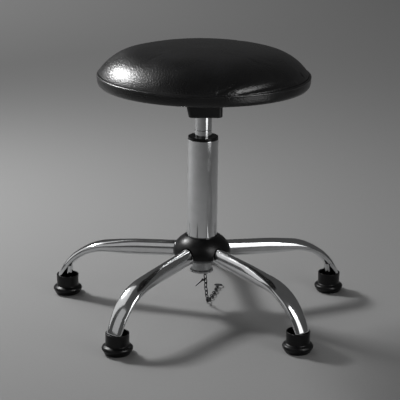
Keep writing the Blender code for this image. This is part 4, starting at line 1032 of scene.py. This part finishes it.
class STOOL_OT_add_hub(bpy.types.Operator):
    """Adds the moulded hub cover with its leg slots, the sleeve under it and the slotted nut"""

    bl_idname = "stool.add_hub"
    bl_label = "Hub, cover and nut"

    def dome(self, s, radius, rise, start, foot, count):
        """Part of an oval in profile, from a start radius down to a foot's height."""
        middle = s.cover_middle
        first = math.acos(start / radius)
        last = math.asin((foot - middle) / rise)
        turns = steps_between(first, last, count)
        return [(radius * math.cos(t), middle + rise * math.sin(t)) for t in turns]

    def cover(self, context):
        s = context.scene.stool_column
        legs = context.scene.stool_legs
        bore = s.column + s.gap
        lip = bore + s.lip_width
        foot = s.cover_middle - s.cover_skirt
        outside = self.dome(s, s.cover, s.cover_rise, lip, foot, 30)
        inside = self.dome(s, s.cover - s.cover_wall, s.cover_rise - s.cover_wall, lip, foot, 16)
        top = outside[0][1] + s.lip_height
        rim = eased([(bore, inside[0][1]), (bore, top), (lip, top), outside[0]], 0.0008, 4)
        cover = spun("hub_cover_moulded", rim + outside[1:] + inside[::-1] + rim[:1], 120)
        half_width, half_depth = leg_section(legs, leg_root_run(legs))[:2]
        half_width += s.slot_gap
        half_depth += s.slot_gap
        middle = legs.root_height - (s.cover - legs.hub_radius) * math.tan(legs.fall)
        outline = []
        for turn in steps_between(0.0, math.pi, 24):
            outline.append((half_width * math.cos(turn), middle + half_depth * math.sin(turn)))
        past_foot = 0.004
        below = foot - past_foot
        outline += [(-half_width, below), (half_width, below)]
        reaches = (legs.hub_radius - s.cover_wall, s.cover + s.cover_wall)
        for k in range(LEG_COUNT):
            turn = leg_turn(k).to_3x3()
            rings = [[turn @ Vector((reach, side, z)) for side, z in outline] for reach in reaches]
            combine(cover, lofted("leg_slot", rings))
        break_edges(cover, 0.0005, 2, math.radians(40))
        return cover

    def nut(self, context):
        s = context.scene.stool_column
        low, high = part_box("ring_nut")
        bore = s.stub + s.gap
        rim_top = low.z + s.nut_rim_height
        profile = [
            (bore, high.z),
            (s.nut_neck, high.z),
            (s.nut_rim - s.nut_notch_depth - s.nut_dish, rim_top + s.nut_dish),
            (s.nut_rim - s.nut_dish / 2, rim_top),
            (s.nut_rim, rim_top - s.nut_dish / 2),
            (s.nut_rim, low.z),
            (bore, low.z),
            (bore, high.z),
        ]
        nut = spun("ring_nut_turned", eased(profile, 0.0004, 2), TURNED_STEPS)
        size = (2 * s.nut_notch_depth, s.nut_notch_width, 4 * s.nut_rim_height)
        notch = block("notch", size, (s.nut_rim, 0.0, low.z))
        turns = [math.tau * (k + 0.25) / s.nut_notches for k in range(s.nut_notches)]
        combine(nut, patterned("notches", notch, [Matrix.Rotation(turn, 4, "Z") for turn in turns]))
        break_edges(nut, 0.0002, 1, math.radians(50))
        return nut

    def execute(self, context):
        hand_over(self.cover(context), "base", moulded_plastic, "hub_cover")
        hand_over(self.nut(context), "base", zinc_plate, "ring_nut")
        # The sleeve's dark steel is partly painted shade, standing for the deep shade in the gaps round the
        # legs in the cover's slots.
        rework("hub_sleeve", 0.0008, "base", steel_dark_as_painted_shade)
        return {"FINISHED"}


# Legs


def bend_start_height(s):
    return s.root_height - (s.bend_start - s.hub_radius) * math.tan(s.fall)


def leg_root_run(s):
    return (s.hub_radius - s.bend_start) / math.cos(s.fall)


def leg_end_run(s):
    slope = math.acos(math.cos(s.fall) - (bend_start_height(s) - s.end_height) / s.bend_radius)
    return s.bend_radius * (slope - s.fall)


def leg_axis(s, run):
    """Radius, height and slope of the tube's side edge, at a run from the start of its bend."""
    if run <= 0:
        return s.bend_start + run * math.cos(s.fall), bend_start_height(s) - run * math.sin(s.fall), s.fall
    slope = s.fall + run / s.bend_radius
    radius = s.bend_start + s.bend_radius * (math.sin(slope) - math.sin(s.fall))
    return radius, bend_start_height(s) - s.bend_radius * (math.cos(s.fall) - math.cos(slope)), slope


def stem_place(s):
    """Radius and height where the stem meets the tube, and the run there."""
    radius = leg_axis(s, leg_end_run(s))[0] - s.glide_offset - s.stem_offset
    slope = math.asin((radius - s.bend_start) / s.bend_radius + math.sin(s.fall))
    run = s.bend_radius * (slope - s.fall)
    return radius, leg_axis(s, run)[1], run


def leg_section(s, run):
    """Half the width and half the depth of the pressed tube, and the power that makes its oval square."""
    pressed = smooth_step(-s.press_lead, s.press_run, run)
    depth = s.hub_depth + (s.bend_depth - s.hub_depth) * pressed
    width = math.sqrt(2 * s.tube**2 - depth**2)
    flare = smooth_step(s.press_run / 2, leg_end_run(s), run)
    return (width + (s.end_width - width) * flare) / 2, depth / 2, 1 - s.square * pressed * (1 - flare)


def leg_ring(s, run, shell=False, inset=0.0):
    """The tube's outline at one place, or that of the open shell which is left of it over the foot."""
    radius, height, slope = leg_axis(s, run)
    half_width, half_depth, power = leg_section(s, run)
    points = []
    for k in range(s.sides):
        turn = math.tau * k / s.sides
        thin = inset
        if shell:
            turn -= math.tau if turn > math.pi else 0.0
            inner = abs(turn) > math.pi / 2 + 0.001
            thin = s.shell - inset if inner else inset
            turn = s.wrap * (math.copysign(math.pi - abs(turn), turn) if inner else turn)
        lift, side = math.cos(turn), math.sin(turn)
        rise = math.copysign((half_depth - thin) * abs(lift) ** power, lift)
        across = math.copysign((half_width - thin) * abs(side) ** power, side)
        points.append(Vector((radius + rise * math.sin(slope), across, height + rise * math.cos(slope))))
    return points


def leg_root(s, gap):
    """The tube's end at the hub, cut to sit round the sleeve."""
    points = leg_ring(s, leg_root_run(s))
    for point in points:
        reach = math.sqrt((s.hub_radius + gap) ** 2 - point.y**2)
        point.z -= (reach - point.x) * math.tan(s.fall)
        point.x = reach
    return points


class STOOL_OT_add_legs(bpy.types.Operator):
    """Adds the five legs: one tube pressed from tall to flat, bent down, and cut open over its welded stem"""

    bl_idname = "stool.add_legs"
    bl_label = "Legs"

    def execute(self, context):
        s = context.scene.stool_legs
        gap = context.scene.stool_column.gap
        stem_radius, stem_top, notch = stem_place(s)
        end = leg_end_run(s)
        edge = 0.0005
        straight = -0.11
        half_cut = 0.001
        smooth = math.radians(50)
        rings = [leg_root(s, gap)]
        rings += [leg_ring(s, run) for run in steps_between(straight, -s.press_lead, 5)]
        rings += [leg_ring(s, run) for run in steps_between(-s.press_lead, notch - half_cut, 36)[1:]]
        rings += [leg_ring(s, run, True) for run in steps_between(notch + half_cut, end - edge, 8)]
        rings += [leg_ring(s, end, True, edge)]
        leg = lofted("leg", rings, smooth)
        stem = bar("stem", s.stem, stem_radius, s.glide_sole + gap, stem_top)
        modify(stem, "BEVEL", width=0.0006, segments=2, limit_method="ANGLE")
        combine(leg, stem, "UNION")
        shade(leg, smooth)
        set_round(leg, "leg_tube", "leg", bright_chrome, Matrix.Identity(4))
        return {"FINISHED"}


class STOOL_OT_add_glides(bpy.types.Operator):
    """Adds the five cup glides, each with a beaded foot and a hole for its leg's stem"""

    bl_idname = "stool.add_glides"
    bl_label = "Glides"

    def execute(self, context):
        s = context.scene.stool_legs
        gap = context.scene.stool_column.gap
        bore = s.cup - s.cup_wall
        bead = s.bead - s.sole
        neck = 0.0004
        ledge = 0.0014
        sole_round = 0.0006
        profile = [
            (0.0, s.cup_floor),
            (bore, s.cup_floor),
            (bore, s.cup_rim),
            (s.cup, s.cup_rim),
            (s.cup - neck, s.bead_top + 2 * neck),
            (s.cup + ledge, s.bead_top - neck),
            (s.bead - 0.35 * bead, s.bead_top - 4 * neck),
            (s.bead, s.bead_middle + 0.35 * bead),
            (s.bead, s.bead_middle - 0.1 * bead),
            (s.sole + 0.15 * bead, 2 * sole_round),
            (s.sole - sole_round, 0.0),
            (0.0, 0.0),
        ]
        cup = spun("glide", eased(profile, 0.0012, 4), 72)
        combine(cup, bar("stem_hole", s.stem + gap, -s.stem_offset, s.glide_sole, s.cup_rim))
        shade(cup)
        circle = leg_axis(s, leg_end_run(s))[0] - s.glide_offset
        set_round(cup, "glide_cup", "glide", moulded_plastic, Matrix.Translation((circle, 0.0, 0.0)))
        return {"FINISHED"}


class STOOL_OT_add_chain(bpy.types.Operator):
    """Adds the earthing chain: bent wire links where the model has them, its eye, end ring and tie"""

    bl_idname = "stool.add_chain"
    bl_label = "Earthing chain"

    def link(self, s):
        """A ring of wire, drawn out to an oval by moving its two halves apart."""
        link = hoop("link", (s.link_width - s.wire) / 2, s.wire, 24, 8)
        edit()
        for side in (-1, 1):
            shape = bmesh.from_edit_mesh(link.data)
            for vertex in shape.verts:
                vertex.select_set(vertex.co.x * side > MERGE)
            shape.select_flush_mode()
            bmesh.update_edit_mesh(link.data)
            bpy.ops.transform.translate(value=(side * (s.link_length - s.link_width) / 2, 0.0, 0.0))
        edit("OBJECT")
        close_up(link, ROUND_SMOOTH)
        return link

    def ring(self, s):
        """A ring of wire, left open by one step where its ends meet."""
        steps = 60
        ring = hoop("chain_end_ring_bent", s.ring_radius, s.ring_wire, steps, 10)
        edit()
        shape = bmesh.from_edit_mesh(ring.data)
        for face in shape.faces:
            middle = face.calc_center_median()
            face.select_set(0 < math.atan2(middle.y, middle.x) < math.tau / steps)
        bmesh.update_edit_mesh(ring.data)
        bpy.ops.mesh.delete(type="FACE")
        bpy.ops.mesh.select_all(action="SELECT")
        bpy.ops.mesh.fill_holes(sides=0)
        edit("OBJECT")
        ring.data.transform(node_place("chain_end_ring"))
        close_up(ring, ROUND_SMOOTH)
        return ring

    def execute(self, context):
        s = context.scene.stool_chain
        link = self.link(s)
        for name in sorted(name for name in NODES if name.startswith("chain_link_")):
            twin = copied(link, name.replace("chain_link", "bent_link"), node_place(name))
            hand_over(twin, "base", dull_steel, name)
        discard(link)
        hand_over(self.ring(s), "base", dull_steel, "chain_end_ring")
        rework("chain_eye", 0.0002, "base", dull_steel)
        rework("cable_tie", 0.0002, "base", moulded_plastic)
        return {"FINISHED"}


class STOOL_OT_finish_inner_pieces(bpy.types.Operator):
    """Gives the pieces inside the column and the gas spring their real finishes"""

    bl_idname = "stool.finish_inner_pieces"
    bl_label = "Inner pieces"

    def execute(self, context):
        refinish(bright_chrome, "piston_rod")
        refinish(zinc_plate, "column_plug", "rod_clip")
        refinish(bearing_steel, "bearing_race_lower", "bearing_race_upper", "bearing_cage")
        refinish(acetal, "piston", "rod_guide")
        refinish(soft_rubber, "end_buffer")
        return {"FINISHED"}


# Stage


class STOOL_OT_add_stage(bpy.types.Operator):
    """Adds the pale floor, the soft boxes and the camera"""

    bl_idname = "stool.add_stage"
    bl_label = "Stage"

    def soft_box(self, name, place, target, width, height, power):
        turn = (Vector(target) - Vector(place)).to_track_quat("-Z", "Y").to_euler()
        bpy.ops.object.light_add(type="AREA", location=place, rotation=turn)
        lamp = take(name)
        lamp.data.shape = "RECTANGLE"
        lamp.data.size = width
        lamp.data.size_y = height
        lamp.data.energy = power
        lamp.visible_camera = False
        return lamp

    def execute(self, context):
        s = context.scene.stool_stage
        deselect()
        bpy.ops.mesh.primitive_plane_add(size=s.floor)
        floor = take("studio_floor")
        edit()
        bpy.ops.mesh.subdivide(number_cuts=3)
        edit("OBJECT")
        floor.data.materials.append(finish(studio_floor))

        self.soft_box("Key", (-1.0, 0.785, 1.24), (0.3, -0.9, 0.0), 0.26, 0.26, s.key)
        self.soft_box("Bounce", (-1.3, 0.7, 1.1), (0.0, 0.0, 0.4), 1.3, 1.9, s.bounce)
        self.soft_box("Fill", (0.566, -0.566, 0.57), (0.0, 0.0, 0.57), 0.36, 0.94, s.fill)
        self.soft_box("Wash", (-1.5, -1.3, 1.6), (0.0, 0.0, 0.5), 2.0, 1.8, s.wash)
        back = self.soft_box("Back", (-1.9, 3.5, 2.6), (-1.3, 3.3, 0.0), 3.0, 3.0, s.back)
        back.visible_glossy = False
        sheen = self.soft_box("Sheen", (0.56, -0.56, 0.78), (0.0, 0.0, 0.78), 0.36, 0.5, s.sheen)
        sheen.visible_diffuse = False
        world = context.scene.world or bpy.data.worlds.new("Studio")
        context.scene.world = world
        world.use_nodes = True
        background = world.node_tree.nodes["Background"]
        background.inputs["Color"].default_value = (1.0, 1.0, 1.0, 1.0)
        background.inputs["Strength"].default_value = s.ambient

        turn = Matrix.Rotation(s.azimuth + s.turn, 3, "Z")
        turn = turn @ Matrix.Rotation(math.pi / 2 - s.pitch, 3, "X") @ Matrix.Rotation(s.roll, 3, "Z")
        place = Matrix.Rotation(s.azimuth, 3, "Z") @ Vector((0.0, -s.distance, s.height))
        bpy.ops.object.camera_add(location=place, rotation=turn.to_euler())
        camera = take("Camera")
        camera.data.lens = s.lens
        camera.data.clip_end = s.floor
        context.scene.camera = camera
        context.scene.view_settings.view_transform = "Standard"
        return {"FINISHED"}


class STOOL_PT_pieces(bpy.types.Panel):
    """Lists the stool's pieces, sizes and colours"""

    bl_label = "Laboratory stool"
    bl_idname = "STOOL_PT_pieces"
    bl_space_type = "VIEW_3D"
    bl_region_type = "UI"
    bl_category = "Stool"

    def draw(self, context):
        layout = self.layout
        for operator in OPERATORS:
            layout.operator(operator.bl_idname)
        for attribute in GROUPS:
            box = layout.box()
            group = getattr(context.scene, attribute)
            for key in GROUPS[attribute].__annotations__:
                box.prop(group, key)


GROUPS = {
    "stool_colours": StoolColours,
    "stool_seat": SeatSizes,
    "stool_column": ColumnSizes,
    "stool_legs": LegSizes,
    "stool_chain": ChainSizes,
    "stool_stage": StageSizes,
}

OPERATORS = (
    STOOL_OT_add_stage,
    STOOL_OT_add_cushion,
    STOOL_OT_add_piping,
    STOOL_OT_add_seat_fittings,
    STOOL_OT_add_mechanism,
    STOOL_OT_add_column,
    STOOL_OT_add_hub,
    STOOL_OT_add_legs,
    STOOL_OT_add_glides,
    STOOL_OT_add_chain,
    STOOL_OT_finish_inner_pieces,
)


def register():
    for group in GROUPS.values():
        bpy.utils.register_class(group)
    for attribute, group in GROUPS.items():
        setattr(bpy.types.Scene, attribute, PointerProperty(type=group))
    for operator in OPERATORS:
        bpy.utils.register_class(operator)
    bpy.utils.register_class(STOOL_PT_pieces)


def unregister():
    bpy.utils.unregister_class(STOOL_PT_pieces)
    for operator in reversed(OPERATORS):
        bpy.utils.unregister_class(operator)
    for attribute in GROUPS:
        delattr(bpy.types.Scene, attribute)
    for group in reversed(GROUPS.values()):
        bpy.utils.unregister_class(group)


def main():
    register()
    bpy.ops.stool.add_stage()
    bpy.ops.stool.add_cushion()
    bpy.ops.stool.add_piping()
    bpy.ops.stool.add_seat_fittings()
    bpy.ops.stool.add_mechanism()
    bpy.ops.stool.add_column()
    bpy.ops.stool.add_hub()
    bpy.ops.stool.add_legs()
    bpy.ops.stool.add_glides()
    bpy.ops.stool.add_chain()
    bpy.ops.stool.finish_inner_pieces()


if __name__ == "__main__":
    main()
